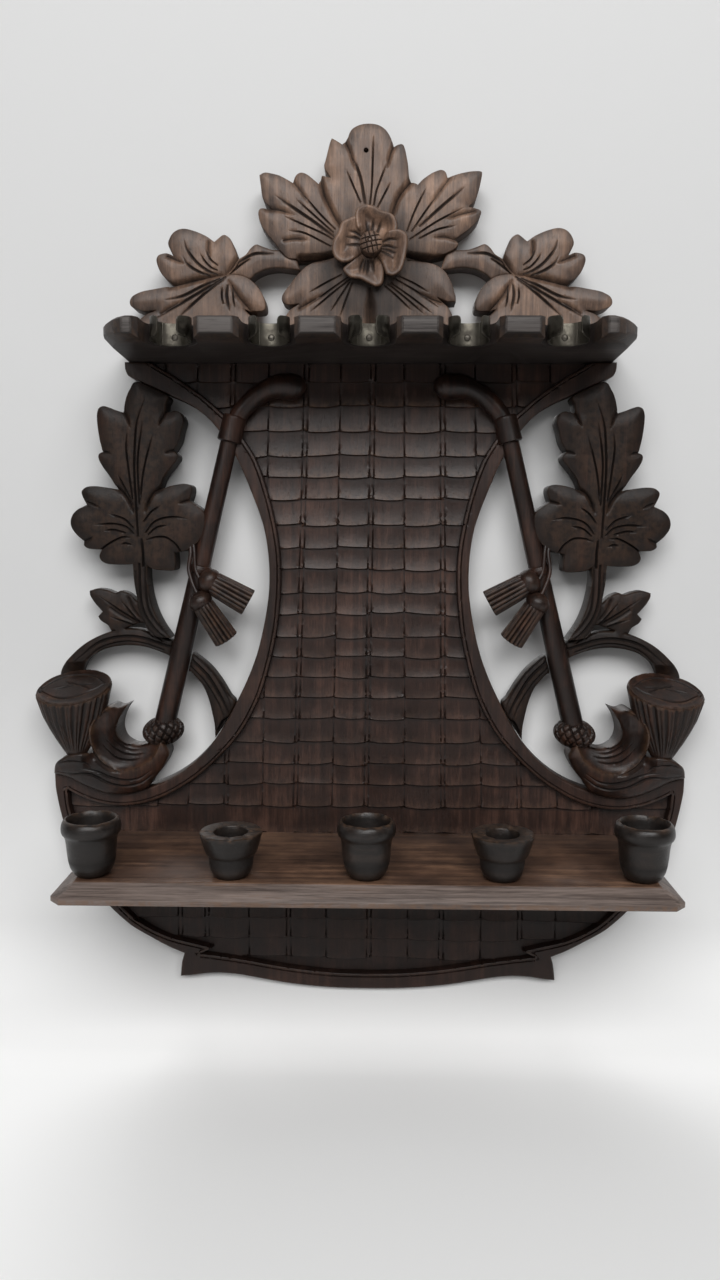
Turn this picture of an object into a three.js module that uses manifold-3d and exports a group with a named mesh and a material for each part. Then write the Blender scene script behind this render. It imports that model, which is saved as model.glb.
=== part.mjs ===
// Carved wall rack for five pipes, in millimetres.
// X runs to the viewer's right, the front faces -Y, Z is up.
// The wall plane is Y = 0, and Z = 0 is the height of the board's narrow waist.
import * as THREE from "three";
import { mergeVertices } from "three/addons/utils/BufferGeometryUtils.js";
import Module from "manifold-3d";

const wasm = await Module();
wasm.setup();

// Driving dimensions
const GAP = 0.3; // glue line kept between neighbouring pieces
const PAST = 2; // how far a cutting shape runs past the face that it cuts
const BOARD_FRONT = -14; // face of the raised border
const FIELD_FRONT = -10; // floor of the sunk, gouged field
const BOARD_TOP = 117.7;
const BOARD_HALF_TOP = 129;

const SHELF_Z = { bottom: 118, top: 127.5 };
const SHELF_FRONT = -80.5;
const SHELF_HALF = 131.5; // at the wall
const SHELF_EDGE = { setback: 3.8, rise: 2, endRise: 4.2, bevel: 1.2 }; // chamfer below, small bevel above
const NOTCH_X = [-93.5, -47, 0, 47, 93.5];
const NOTCH = { mouth: 15.9, throat: 12.8, neck: -76.5, centre: -67 };

const TRAY_Z = { top: -137.6, edge: -144.4, bottom: -147 };
const TRAY_TOP = { half: 140.5, front: -88 };
const TRAY_OUT = { half: 151.5, front: -95, corner: 5.5 };

const CUP_X = [-134.3, -66, 0, 66, 134.3];
const CUP_Y = -78;
const CUP_LIFT = GAP;
const TENON = { radius: 5, depth: 6 };
const CUP_SIDES = 20;

const CREST_BACK = -4;
const CREST_FRONT = -18;
const CREST_RAIL = { half: 116, back: -1, front: -14, top: 134 };
const ROSETTE = { x: 0, z: 173.5, back: CREST_FRONT - GAP, front: -27 };
const HANG_HOLE = { x: -2.3, z: 221.6, radius: 1.2 };

const LEAF_FRONT = -18.5;
const TWIG_FRONT = -13;
const BRANCH_BACK = -4;
const LEAF_LAP = 8; // depth of the notch in a stem where the leaf laps over it

const PIPE_Y = -13; // depth of the pipe stems' axes
const PIPE_HALF = 8; // half the thickness of a pipe's foot
const STEM = { topX: 75.5, topZ: 72, slope: 0.245 };
const BOWL = { x: 158.8, y: -20, z: -57, radius: 20.2, depth: 12, lean: 32 };

const CLIP = { y: -64.9, z: 124, radius: 9.4, sheet: 0.8, height: 10.8, tilt: -4 };
const CLIP_SPLIT = { base: 40, arm: 42 }; // degrees from the back where the base ends and an arm begins
const CLIP_END = 158; // degrees from the back where an arm ends
const TONGUE = { start: -5, end: -9.5, corner: 1.8 }; // an arm's end narrows between these depths
const NAIL = { z: -1.4, head: 1.6, shank: 0.8, hole: 1.15, length: 12, sides: 10 };

const SCREW = { head: 3.4, shank: 1.7, clearance: 0.3, headDepth: 2.2, sides: 10 };

// Finishes
const finish = (color, roughness, metalness = 0) =>
  new THREE.MeshStandardMaterial({ color, roughness, metalness });
const WALNUT = () => finish(0x3a2620, 0.5);
const DARK_WALNUT = () => finish(0x2b211e, 0.45);
const TRAY_WOOD = () => finish(0x4b3327, 0.5);
const TARNISHED = () => finish(0x55544f, 0.5, 0.8);
const IRON = () => finish(0x6a655d, 0.45, 0.9);

// Solid helpers
function toSolid(geometry) {
  const bare = new THREE.BufferGeometry();
  bare.setAttribute("position", geometry.getAttribute("position"));
  if (geometry.index) bare.setIndex(geometry.index);
  const merged = mergeVertices(bare, 1e-4);
  const mesh = new wasm.Mesh({
    numProp: 3,
    vertProperties: new Float32Array(merged.getAttribute("position").array),
    triVerts: new Uint32Array(merged.index.array),
  });
  return new wasm.Manifold(mesh);
}

function toGeometry(solid) {
  const mesh = solid.getMesh();
  const geometry = new THREE.BufferGeometry();
  const stride = mesh.numProp;
  const count = mesh.vertProperties.length / stride;
  const position = new Float32Array(count * 3);
  for (let i = 0; i < count; i++) {
    for (let k = 0; k < 3; k++) position[i * 3 + k] = mesh.vertProperties[i * stride + k];
  }
  geometry.setAttribute("position", new THREE.BufferAttribute(position, 3));
  geometry.setIndex(new THREE.BufferAttribute(new Uint32Array(mesh.triVerts), 1));
  geometry.computeVertexNormals();
  return geometry;
}

const join = (...solids) => solids.reduce((all, next) => all.add(next));
const cut = (body, ...tools) => tools.reduce((left, tool) => left.subtract(tool), body);

// Stretches of points joined at sharp corners, each drawn as a smooth curve in `steps` per point
function outline(stretches, steps = 1) {
  const points = [];
  for (const stretch of stretches) {
    const nodes = stretch.map(([x, y]) => new THREE.Vector3(x, y, 0));
    const curve = new THREE.CatmullRomCurve3(nodes);
    const line = nodes.length < 3 ? nodes : curve.getPoints((nodes.length - 1) * steps);
    for (const node of line) {
      const last = points[points.length - 1];
      if (!last || Math.hypot(last.x - node.x, last.y - node.y) > 0.05) {
        points.push(new THREE.Vector2(node.x, node.y));
      }
    }
  }
  const [first, last] = [points[0], points[points.length - 1]];
  if (Math.hypot(first.x - last.x, first.y - last.y) < 0.05) points.pop();
  return points;
}

const mirrored = (points) => points.map((p) => new THREE.Vector2(-p.x, p.y)).reverse();

// A half outline from the centre line down to the centre line, made whole
function both(half) {
  const other = mirrored(half).filter((p) => Math.abs(p.x) > 0.01);
  return half.concat(other);
}

// An outline seen from the front, made thick from y = back to y = front
function frontPlate(points, back, front) {
  const shape = new THREE.Shape(points);
  const geometry = new THREE.ExtrudeGeometry(shape, { depth: back - front, bevelEnabled: false });
  geometry.rotateX(Math.PI / 2);
  geometry.translate(0, back, 0);
  return toSolid(geometry);
}

// An outline seen from above, made thick from z = bottom to z = top
function planPlate(points, bottom, top) {
  const shape = new THREE.Shape(points);
  const geometry = new THREE.ExtrudeGeometry(shape, { depth: top - bottom, bevelEnabled: false });
  geometry.translate(0, 0, bottom);
  return toSolid(geometry);
}

// A profile of [radius, height] turned about +Z
function turned(profile, sides = 28) {
  const points = profile.map(([r, z]) => new THREE.Vector2(r, z));
  const geometry = new THREE.LatheGeometry(points, sides);
  geometry.rotateX(Math.PI / 2);
  return geometry;
}

// A round bar that swells along a smooth path; its two ends close on the axis
function bar(path, radii, sides = 12, rings = 24) {
  const curve = new THREE.CatmullRomCurve3(path.map((p) => new THREE.Vector3(...p)));
  const frames = curve.computeFrenetFrames(rings, false);
  const position = [];
  const index = [];
  const radiusAt = (t) => {
    const f = t * (radii.length - 1);
    const i = Math.min(Math.floor(f), radii.length - 2);
    return THREE.MathUtils.lerp(radii[i], radii[i + 1], f - i);
  };
  for (let k = 0; k <= rings; k++) {
    const centre = curve.getPointAt(k / rings);
    const at = radiusAt(curve.getUtoTmapping(k / rings));
    for (let s = 0; s < sides; s++) {
      const angle = (s / sides) * 2 * Math.PI;
      const p = centre.clone();
      p.addScaledVector(frames.normals[k], Math.cos(angle) * at);
      p.addScaledVector(frames.binormals[k], Math.sin(angle) * at);
      position.push(p.x, p.y, p.z);
    }
  }
  for (let k = 0; k < rings; k++) {
    for (let s = 0; s < sides; s++) {
      const a = k * sides + s;
      const b = k * sides + ((s + 1) % sides);
      index.push(a, b, b + sides, a, b + sides, a + sides);
    }
  }
  for (let s = 1; s < sides - 1; s++) {
    const end = rings * sides;
    index.push(0, s + 1, s, end, end + s, end + s + 1);
  }
  const geometry = new THREE.BufferGeometry();
  geometry.setAttribute("position", new THREE.Float32BufferAttribute(position, 3));
  geometry.setIndex(index);
  return toSolid(geometry);
}

const mirrorX = (solid) => solid.mirror([1, 0, 0]);

function placeTurned(profile, at, axis, sides) {
  const geometry = turned(profile, sides);
  const turn = new THREE.Quaternion().setFromUnitVectors(
    new THREE.Vector3(0, 0, 1),
    new THREE.Vector3(...axis).normalize(),
  );
  geometry.applyQuaternion(turn);
  geometry.translate(...at);
  return geometry;
}

// Countersunk wood screw: head flush at `at`, shank running along `axis`
function screwGeometry(at, axis, length) {
  const profile = [
    [0, 0],
    [SCREW.head, 0],
    [SCREW.shank, SCREW.headDepth],
    [SCREW.shank, length - 4],
    [0, length],
  ];
  return placeTurned(profile, at, axis, SCREW.sides);
}

function screwHole(at, axis, length) {
  const c = SCREW.clearance;
  const profile = [
    [0, -1],
    [SCREW.head + c, -1],
    [SCREW.head + c, 0],
    [SCREW.shank + c, SCREW.headDepth + c],
    [SCREW.shank + c, length - 4 + c],
    [0, length + c],
  ];
  return toSolid(placeTurned(profile, at, axis, SCREW.sides));
}

// Screws
const TRAY_SCREWS = [-110, 0, 110].map((x) => ({ at: [x, -0.6, -142.3], axis: [0, -1, 0], length: 32 }));
const SHELF_SCREWS = [-84, 84].map((x) => ({ at: [x, -6, SHELF_Z.top - 0.5], axis: [0, 0, -1], length: 34 }));
const CREST_SCREWS = [-52, 52].map((x) => ({ at: [x, -6, 133.4], axis: [0, 0, -1], length: 42 }));
const holes = (screws) => screws.map((s) => screwHole(s.at, s.axis, s.length));

// Back board
const BOARD_HALF = outline([
  [[0, BOARD_TOP], [BOARD_HALF_TOP, BOARD_TOP]],
  [[BOARD_HALF_TOP, BOARD_TOP], [128.9, 114.5], [127.6, 111], [125, 109.3], [121.5, 107.8]],
  [[121.5, 107.8], [106.5, 101], [100, 98.3], [92.2, 94], [85, 88.4], [78, 80], [70.5, 68], [62, 48],
    [56.5, 32],
    [54, 16], [53.7, 0], [54.9, -11], [57.3, -24], [60.8, -37.4], [66, -51], [72.3, -64], [78.5, -75.6],
    [85, -85.4], [92.5, -94.2], [101, -101.6], [111, -107.7], [121.7, -112], [131.2, -114.7],
    [139.5, -115.3],
    [147.8, -113.6], [156, -110.3], [164.4, -106], [173.4, -103.7]],
  [[173.4, -103.7], [173.1, -113.5], [169.8, -131], [164.5, -150], [156.5, -166], [146.8, -178.4],
    [133.6, -191.2],
    [122.4, -198.1], [111.3, -204.2], [103.2, -207.6]],
  [[103.2, -207.6], [104.6, -212.5], [105.6, -221.2]],
  [[105.6, -221.2], [99, -220.6], [92, -219.5], [83, -219], [72, -219.9], [60, -222], [48, -224.1],
    [32, -226],
    [16, -227], [0, -227.2]],
], 2);

// Inner edge of the raised border; the sunk field runs out under the upper shelf
const FIELD_HALF = outline([
  [[0, BOARD_TOP + 2], [118, BOARD_TOP + 2]],
  [[118, BOARD_TOP + 2], [113, 116], [104, 110.8], [95, 104.8], [88, 99.8], [80.5, 93.3], [73, 86],
    [66.5, 77],
    [60.6, 67.5], [55, 52], [50.5, 34], [48, 18], [47.6, 4], [48.2, -8], [50, -24], [54.4, -44],
    [60.3, -62],
    [70.3, -80.5], [81.5, -93.6], [92.7, -104], [103.9, -111.8], [115.1, -117.6], [126.3, -121.1],
    [137.5, -122.2], [148.6, -120.8], [158.5, -117.4], [166.6, -113.2]],
  [[166.6, -113.2], [165.9, -122], [162.5, -136], [156.5, -152], [149, -166.5], [139.5, -178.9],
    [130, -188.2],
    [119, -195], [108, -199.3], [96.4, -202.1], [87.4, -204.4]],
  [[87.4, -204.4], [94.4, -207.8]],
  [[94.4, -207.8], [83, -209.2], [71.7, -210.8], [60.4, -212.8], [49.1, -214.8], [32.2, -217],
    [15.2, -218.3],
    [0, -218.5]],
], 2);

const boardBlank = frontPlate(both(BOARD_HALF), 0, BOARD_FRONT);
const board = cut(
  boardBlank,
  frontPlate(both(FIELD_HALF), FIELD_FRONT, BOARD_FRONT - PAST),
  ...holes(TRAY_SCREWS),
  ...holes(SHELF_SCREWS),
  ...holes(CREST_SCREWS),
);

// The board grown by the glue line, used to seat the carvings on it
const boardSeat = join(
  frontPlate(both(BOARD_HALF), PAST, FIELD_FRONT - GAP),
  cut(
    frontPlate(both(BOARD_HALF), PAST, BOARD_FRONT - GAP),
    frontPlate(both(FIELD_HALF), FIELD_FRONT - GAP, BOARD_FRONT - PAST),
  ),
);

// Upper shelf with five notches
function notchTool(x) {
  const { mouth, throat, neck, centre } = NOTCH;
  const before = SHELF_FRONT - 2 * PAST;
  const points = [new THREE.Vector2(x - mouth - PAST, before), new THREE.Vector2(x + mouth + PAST, before)];
  points.push(new THREE.Vector2(x + mouth, SHELF_FRONT), new THREE.Vector2(x + throat, neck));
  for (let a = 0; a <= 180; a += 12) {
    const angle = THREE.MathUtils.degToRad(a);
    points.push(new THREE.Vector2(x + throat * Math.cos(angle), centre + throat * Math.sin(angle)));
  }
  points.push(new THREE.Vector2(x - throat, neck), new THREE.Vector2(x - mouth, SHELF_FRONT));
  return planPlate(points, SHELF_Z.bottom - PAST, SHELF_Z.top + PAST);
}

const SHELF_END = 120; // beyond this x the chamfer below the shelf rises higher
const SHELF_HALF_PLAN = outline([
  [[0, SHELF_FRONT], [112.5, SHELF_FRONT]],
  [[112.5, SHELF_FRONT], [117.2, -76.6]],
  [[117.2, -76.6], [121, -71.2], [124.4, -65.2], [127.2, -58.8], [128.6, -52.5]],
  [[128.6, -52.5], [SHELF_HALF, 0]],
  [[SHELF_HALF, 0], [0, 0]],
]);

// The plan is convex, so the shelf is the hull of four rings, each drawn in from the front and the ends
function shelfBlank() {
  const { setback, rise, endRise, bevel } = SHELF_EDGE;
  const plan = both(SHELF_HALF_PLAN);
  const drawnIn = (inset, height) => plan.map((p) => [
    p.x * (1 - inset / SHELF_HALF),
    p.y * (1 + inset / SHELF_FRONT),
    height(p),
  ]);
  return wasm.Manifold.hull([
    ...drawnIn(setback, () => SHELF_Z.bottom),
    ...drawnIn(0, (p) => SHELF_Z.bottom + (Math.abs(p.x) > SHELF_END ? endRise : rise)),
    ...drawnIn(0, () => SHELF_Z.top - bevel),
    ...drawnIn(bevel, () => SHELF_Z.top),
  ]);
}

// Spring clips, drawn about their own centre and then tilted into the notches
const clipTilt = THREE.MathUtils.degToRad(CLIP.tilt);
const toClipPlace = (solid, x) => solid.rotate([CLIP.tilt, 0, 0]).translate([x, CLIP.y, CLIP.z]);

function clipStrip(from, to, steps) {
  const points = [];
  const ring = (radius, list) => {
    for (const degrees of list) {
      const angle = THREE.MathUtils.degToRad(degrees);
      points.push(new THREE.Vector2(radius * Math.sin(angle), radius * Math.cos(angle)));
    }
  };
  const degrees = Array.from({ length: steps + 1 }, (_, i) => from + ((to - from) * i) / steps);
  ring(CLIP.radius + CLIP.sheet / 2, degrees);
  ring(CLIP.radius - CLIP.sheet / 2, degrees.slice().reverse());
  return planPlate(points, -CLIP.height / 2, CLIP.height / 2);
}

const alongY = (profile, y, z, sides) => toSolid(placeTurned(profile, [0, y, z], [0, 1, 0], sides));
const drill = (radius, length) => [[0, 0], [radius, 0], [radius, length], [0, length]];

function clipBase() {
  const hole = alongY(drill(NAIL.hole, NAIL.length), CLIP.radius / 2, NAIL.z, NAIL.sides);
  return cut(clipStrip(-CLIP_SPLIT.base, CLIP_SPLIT.base, 6), hole);
}

// The arm's free end is clipped at its corners into a tongue
function clipArm(side) {
  const arm = clipStrip(CLIP_SPLIT.arm, CLIP_END, 9);
  const top = CLIP.height / 2;
  const width = CLIP.radius + PAST;
  const corner = (sign) => {
    const outside = sign * (top + PAST);
    const wedge = [[TONGUE.end, sign * (top - TONGUE.corner)], [TONGUE.start, outside], [-width, outside]];
    const list = sign > 0 ? wedge : wedge.reverse();
    const shape = new THREE.Shape(list.map(([y, z]) => new THREE.Vector2(y, z)));
    const geometry = new THREE.ExtrudeGeometry(shape, { depth: width, bevelEnabled: false });
    geometry.rotateX(Math.PI / 2);
    geometry.rotateZ(Math.PI / 2);
    return toSolid(geometry);
  };
  const tongue = cut(arm, corner(1), corner(-1));
  return side > 0 ? tongue : mirrorX(tongue);
}

function clipNail() {
  const seat = CLIP.radius - CLIP.sheet / 2 - 1.5 * GAP; // the head bears on the curved strip
  const { head, shank, length } = NAIL;
  const profile = [[0, -0.8], [head * 0.7, -0.6], [head, 0], [shank, 0.01], [shank, length - 2],
  [0, length]];
  return alongY(profile, seat, NAIL.z, NAIL.sides);
}

function nailHole(x) {
  const hole = drill(NAIL.hole, NAIL.length + PAST);
  return toClipPlace(alongY(hole, CLIP.radius - 1, NAIL.z, NAIL.sides), x);
}

const upperShelf = cut(
  shelfBlank(),
  ...NOTCH_X.map(notchTool),
  ...NOTCH_X.map(nailHole),
  ...holes(SHELF_SCREWS),
  ...holes(CREST_SCREWS),
);

// Lower shelf: a thin board with broad bevels and clipped front corners
function trayRing(half, front, corner, z, back) {
  return [
    [-half, back, z], [-half, front + corner, z], [-half + corner, front, z],
    [half - corner, front, z], [half, front + corner, z], [half, back, z],
  ];
}

function lowerShelfSolid() {
  const back = FIELD_FRONT - GAP;
  const rings = [
    trayRing(TRAY_OUT.half, TRAY_OUT.front, TRAY_OUT.corner, TRAY_Z.bottom, back),
    trayRing(TRAY_OUT.half, TRAY_OUT.front, TRAY_OUT.corner, TRAY_Z.edge, back),
    trayRing(TRAY_TOP.half, TRAY_TOP.front, 1, TRAY_Z.top, back),
  ];
  const sides = rings[0].length;
  const index = [];
  for (let k = 0; k + 1 < rings.length; k++) {
    for (let s = 0; s < sides; s++) {
      const a = k * sides + s;
      const b = k * sides + ((s + 1) % sides);
      index.push(a, b, b + sides, a, b + sides, a + sides);
    }
  }
  const end = (rings.length - 1) * sides;
  for (let s = 1; s < sides - 1; s++) index.push(0, s + 1, s, end, end + s, end + s + 1);
  const geometry = new THREE.BufferGeometry();
  geometry.setAttribute("position", new THREE.Float32BufferAttribute(rings.flat(2), 3));
  geometry.setIndex(index);
  return toSolid(geometry);
}

const tenonHole = (x) =>
  planPlate(
    circle(x, CUP_Y, TENON.radius + GAP, CUP_SIDES),
    TRAY_Z.top - TENON.depth - GAP,
    TRAY_Z.top + PAST,
  );

function circle(x, y, radius, sides) {
  return Array.from({ length: sides }, (_, i) => {
    const angle = (i / sides) * 2 * Math.PI;
    return new THREE.Vector2(x + radius * Math.cos(angle), y + radius * Math.sin(angle));
  });
}

const lowerShelf = cut(lowerShelfSolid(), ...CUP_X.map(tenonHole), ...holes(TRAY_SCREWS));

// Cups, turned with a tenon under the foot; heights are above the shelf top
const TALL_CUP = [
  [0, -TENON.depth], [TENON.radius, -TENON.depth], [TENON.radius, CUP_LIFT], [8.6, CUP_LIFT], [10.8, 3.4],
  [11.7, 9], [12.5, 18], [13, 21], [14.2, 23.6], [13.7, 26.8], [12.4, 28.6], [11.5, 28], [10.6, 20],
  [10, 9],
  [8, 6], [0, 5],
];
const SOCKET = [
  [0, -TENON.depth], [TENON.radius, -TENON.depth], [TENON.radius, CUP_LIFT], [8, CUP_LIFT], [10.2, 3.6],
  [11, 10.6], [12.7, 12.6], [14.2, 17.4], [15.2, 21.8], [14.8, 22.6], [8.3, 22.6], [8, 13.4], [0, 13.2],
];
const CUP_PROFILES = [TALL_CUP, SOCKET, TALL_CUP, SOCKET, TALL_CUP];

// Crest of one large leaf between two smaller ones, on a foot rail
const BIG_LEAF = outline([
  [[-14.5, 225], [-11.9, 227.8], [-10.7, 230.7], [-8.9, 232.9], [-5.4, 234.5], [-1, 235], [3.6, 234.4],
    [7.2, 232.3],
    [9.7, 229], [11.8, 224.2]],
  [[11.8, 224.2], [15.8, 225.1], [17.5, 222.5], [19, 215.5], [20, 208.3]],
  [[20, 208.3], [24.1, 205.4]],
  [[24.1, 205.4], [27.1, 208.3], [31.6, 211.2], [35.6, 212.6], [38.1, 211.6], [39.2, 208.8]],
  [[39.2, 208.8], [45.2, 210.7], [51, 211.8], [55.6, 211.9], [56.8, 210.5], [55.6, 204], [53.5, 197.6],
    [50.5, 194.7]],
  [[50.5, 194.7], [55.6, 193.2], [56.6, 191.3], [54.7, 187.4], [50.7, 183.5], [43.7, 178.7]],
  [[43.7, 178.7], [45.2, 176.2], [43.2, 173.6], [38.2, 171.3], [30, 169.6], [19, 168.2]],
  [[19, 168.2], [26, 167.8], [33.1, 166.2], [38.3, 163], [41.9, 157.6], [44.1, 150.5], [44.3, 147.4],
    [40, 147.7],
    [34.9, 149.6]],
  [[34.9, 149.6], [41.1, 143.9], [43.5, 137], [43.5, CREST_RAIL.top - 3]],
  [[43.5, CREST_RAIL.top - 3], [-45, CREST_RAIL.top - 3]],
  [[-45, CREST_RAIL.top - 3], [-44.6, 138.5], [-41.6, 143.4], [-37, 146.4]],
  [[-37, 146.4], [-42.2, 146], [-45.3, 147.6], [-45.5, 150.6], [-43.7, 153.7], [-41, 157], [-37.5, 161.3],
    [-33.5, 165], [-29, 167.3], [-23.1, 168.3]],
  [[-23.1, 168.3], [-31, 169], [-41, 169], [-45.4, 171.8], [-49.7, 177.4]],
  [[-49.7, 177.4], [-53.4, 181.6], [-56.4, 186.4], [-57.6, 191.4], [-56.2, 194], [-51.1, 193.8]],
  [[-51.1, 193.8], [-55, 198.4], [-56.2, 205.4], [-56.8, 210.3], [-53.6, 211.6], [-47, 210.2],
    [-39.8, 206.6]],
  [[-39.8, 206.6], [-38, 210.2], [-35.4, 211.5], [-32, 210.3], [-26.6, 206]],
  [[-26.6, 206], [-24.8, 210], [-20.5, 208.9]],
  [[-20.5, 208.9], [-23.6, 213.7], [-22.8, 218], [-21, 225], [-19.8, 228], [-17.4, 226.8], [-14.5, 225]],
]);
const SIDE_LEAF = outline([
  [[72.9, 161.6], [69, 166], [68.5, 170], [70, 174.5], [71.4, 178], [73.4, 180.2], [76, 180.9],
    [80.4, 177.6]],
  [[80.4, 177.6], [84.5, 180.4], [89.6, 182.6], [94.7, 184], [98.3, 183.9], [101.4, 182.3], [103.5, 179.4],
    [104.2, 176], [101.8, 170.7]],
  [[101.8, 170.7], [105.2, 172], [109, 171.2], [110.5, 169], [109.9, 165.6], [107.5, 161], [101.6, 155.7]],
  [[101.6, 155.7], [107, 155], [113.3, 153.9], [119, 152.7], [123.4, 150.5], [124.9, 147.6], [123.6, 145],
    [118, 142.9], [111.5, 143.2]],
  [[111.5, 143.2], [117, 141], [121.5, 137], [122.5, 133], [121.5, SHELF_Z.top + GAP]],
  [[121.5, SHELF_Z.top + GAP], [58.5, SHELF_Z.top + GAP]],
  [[58.5, SHELF_Z.top + GAP], [58.4, 133], [60.4, 138.7], [65.2, 143.8]],
  [[65.2, 143.8], [59.2, 142.7], [54.8, 143.4], [54.2, 147], [55.8, 151.6], [58.8, 156], [62.8, 159.3],
    [67, 160.9], [72.9, 161.6]],
]);
const CREST_BRANCH = outline([
  [[76, 162], [68.7, 169], [64.4, 171.8], [62, 174.8], [59, 176.8], [55.3, 175.6], [50.2, 174],
    [40, 173.6]],
  [[40, 173.6], [36, 163.6], [41, 164.2], [47.2, 164.9], [53.4, 164.2], [58.5, 162.2], [64, 158]],
]);

function crestSolid() {
  const rail = planPlate(
    [[-1, "back"], [-1, "front"], [1, "front"], [1, "back"]].map(
      ([side, end]) => new THREE.Vector2(side * CREST_RAIL.half, CREST_RAIL[end]),
    ),
    SHELF_Z.top + GAP,
    CREST_RAIL.top,
  );
  const branch = frontPlate(CREST_BRANCH, CREST_BACK - 1, CREST_FRONT + 2);
  const sideLeaf = frontPlate(SIDE_LEAF, CREST_BACK, CREST_FRONT);
  const right = join(branch, sideLeaf);
  const bigLeaf = frontPlate(BIG_LEAF, CREST_BACK, CREST_FRONT);
  const hangHole = toSolid(
    placeTurned(drill(HANG_HOLE.radius, -2 * CREST_FRONT), [HANG_HOLE.x, 0, HANG_HOLE.z], [0, -1, 0], 16),
  );
  return cut(join(rail, bigLeaf, right, mirrorX(right)), hangHole, ...holes(CREST_SCREWS));
}

// Flower in the middle of the crest: four overlapping petals and a button
const PETALS = outline([
  [[-7.6, 186], [-7.2, 189.4], [-4.6, 191.4], [-1.2, 192.2], [2.2, 191.4], [6, 189.2], [10.4, 188.2],
    [13.4, 185.2],
    [14, 181], [13.4, 179.6]],
  [[13.4, 179.6], [17, 179.4], [19, 177.4], [19.1, 172], [17.6, 165], [16.4, 161], [13.4, 158.2],
    [10, 157.8],
    [7.6, 159.6]],
  [[7.6, 159.6], [6.4, 155.4], [3.4, 153.6], [-1, 154.9], [-6, 156.8], [-11, 158.2], [-13.4, 161],
    [-13, 164.8]],
  [[-13, 164.8], [-16.6, 166], [-19.2, 169.4], [-19.1, 173.4], [-16.4, 178], [-15.6, 182], [-13.6, 185.2],
    [-7.6, 186]],
]);

// Leafy branch in each side opening, drawn for the right-hand side
const LEAF = outline([
  [[121.4, 107.1], [125.9, 103.2], [128.2, 98], [129.6, 91.3]],
  [[129.6, 91.3], [133.6, 92.6], [137.3, 94], [140.2, 94.6], [142.6, 93.4], [143.6, 90], [143.5, 85],
    [142.6, 78],
    [141.1, 71]],
  [[141.1, 71], [143.2, 69.6], [143.2, 67], [141.3, 63.2], [137.6, 58], [133.3, 51.1]],
  [[133.3, 51.1], [139, 52.2], [145.3, 53], [150, 52.6], [152.8, 50.4], [152.4, 47.4], [150.2, 43.1]],
  [[150.2, 43.1], [155.4, 40.6], [158.2, 37.6], [159.3, 34], [158.6, 30.6], [156, 27], [152.6, 23.9]],
  [[152.6, 23.9], [152.3, 21.4], [149.5, 19.8], [143, 19.4]],
  [[143, 19.4], [144.3, 16], [143.2, 13.4], [139.8, 11.7], [133, 11.4], [126.5, 11.7]],
  [[126.5, 11.7], [126, 3], [125, -5], [123.6, -13.2], [120.8, -20.4], [116.5, -26.8]],
  [[116.5, -26.8], [107, -28.2]],
  [[107, -28.2], [112.2, -20.4], [115.6, -13], [117.8, -5], [118.9, 3], [118.9, 10.9]],
  [[118.9, 10.9], [115.2, 9], [109, 8.3], [104.6, 8.4], [103.4, 11], [103.7, 17.9]],
  [[103.7, 17.9], [98, 19], [92.3, 22.5], [88.6, 27.6], [87.2, 34], [88.2, 40], [95.4, 45.4]],
  [[95.4, 45.4], [94, 50], [94.6, 53.4], [98.4, 54.4], [104.6, 53.4], [111.6, 51.1]],
  [[111.6, 51.1], [109, 57.4], [105, 62.8], [101.8, 66.6], [101.4, 69.2], [103.4, 71.6]],
  [[103.4, 71.6], [100.6, 76.4], [99.1, 82], [97.8, 86.6], [98.8, 90.4], [102, 92.2], [107.3, 91.2]],
  [[107.3, 91.2], [107, 95.8], [106.6, 100.5]],
]);
const SMALL_LEAF = outline([
  [[122, -9], [126, -8.4], [130, -4.6], [134.4, -2.9], [137.7, -4]],
  [[137.7, -4], [142, -2.5], [147, -1.7], [151.8, -3], [151.6, -5.6], [149.4, -9.4], [145.1, -14.4]],
  [[145.1, -14.4], [147.5, -17], [146, -19.4], [142.4, -21.8], [140.4, -25], [134, -24], [126, -21],
    [119, -20]],
]);
const TWIG = outline([
  [[171.4, -52], [170.6, -48.6], [168.4, -44.8], [164.4, -40.2], [159.3, -35.2], [153.7, -31],
    [147.1, -27.5], [141, -25.2],
    [133, -23.6], [124, -24], [116.5, -26.8], [107, -30], [98, -35.4], [91.6, -39.9], [86, -45],
    [80.6, -52.2],
    [76, -60], [73.2, -64.8]],
  [[73.2, -64.8], [78.9, -75.2], [84.4, -84]],
  [[84.4, -84], [84.8, -76], [87.4, -63.6], [91, -54.6], [96.8, -47.6], [103.6, -42], [110.6, -37.6],
    [117.8, -34.8], [124.3, -33.3], [130.8, -32.8], [137.9, -33.4], [144.6, -35.1], [150.1, -37.9],
    [154.4, -41.6],
    [157, -46.6], [158.4, -52]],
  [[158.4, -52], [171.4, -52]],
]);

const stemPoint = (z) => [STEM.topX + STEM.slope * (STEM.topZ - z), PIPE_Y, z];

// Pipe body under the ball: foot, heel and the leaf-like flourish
const PIPE_BODY = outline([
  [[112.5, -84], [108.9, -90.5], [110.3, -95.6], [113.8, -101.2], [118.3, -106.7], [121.9, -111.6]],
  [[121.9, -111.6], [131.2, -114.3], [139.5, -114.9], [147.8, -113.2], [156, -109.9], [164.2, -105.6],
    [172.6, -103.2]],
  [[172.6, -103.2], [171.6, -99], [168.9, -95.4], [164.6, -92]],
  [[164.6, -92], [170, -84.4], [174, -78], [176, -72]],
  [[176, -72], [142, -72]],
  [[142, -72], [144, -68.2], [140.6, -67.3], [136.1, -66.9], [131.7, -67.3]],
  [[131.7, -67.3], [134, -70.1], [135.2, -74], [135.3, -79], [133.6, -84.2], [130.2, -87.5], [126.2, -88.9],
    [122.5, -86]],
]);

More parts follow.
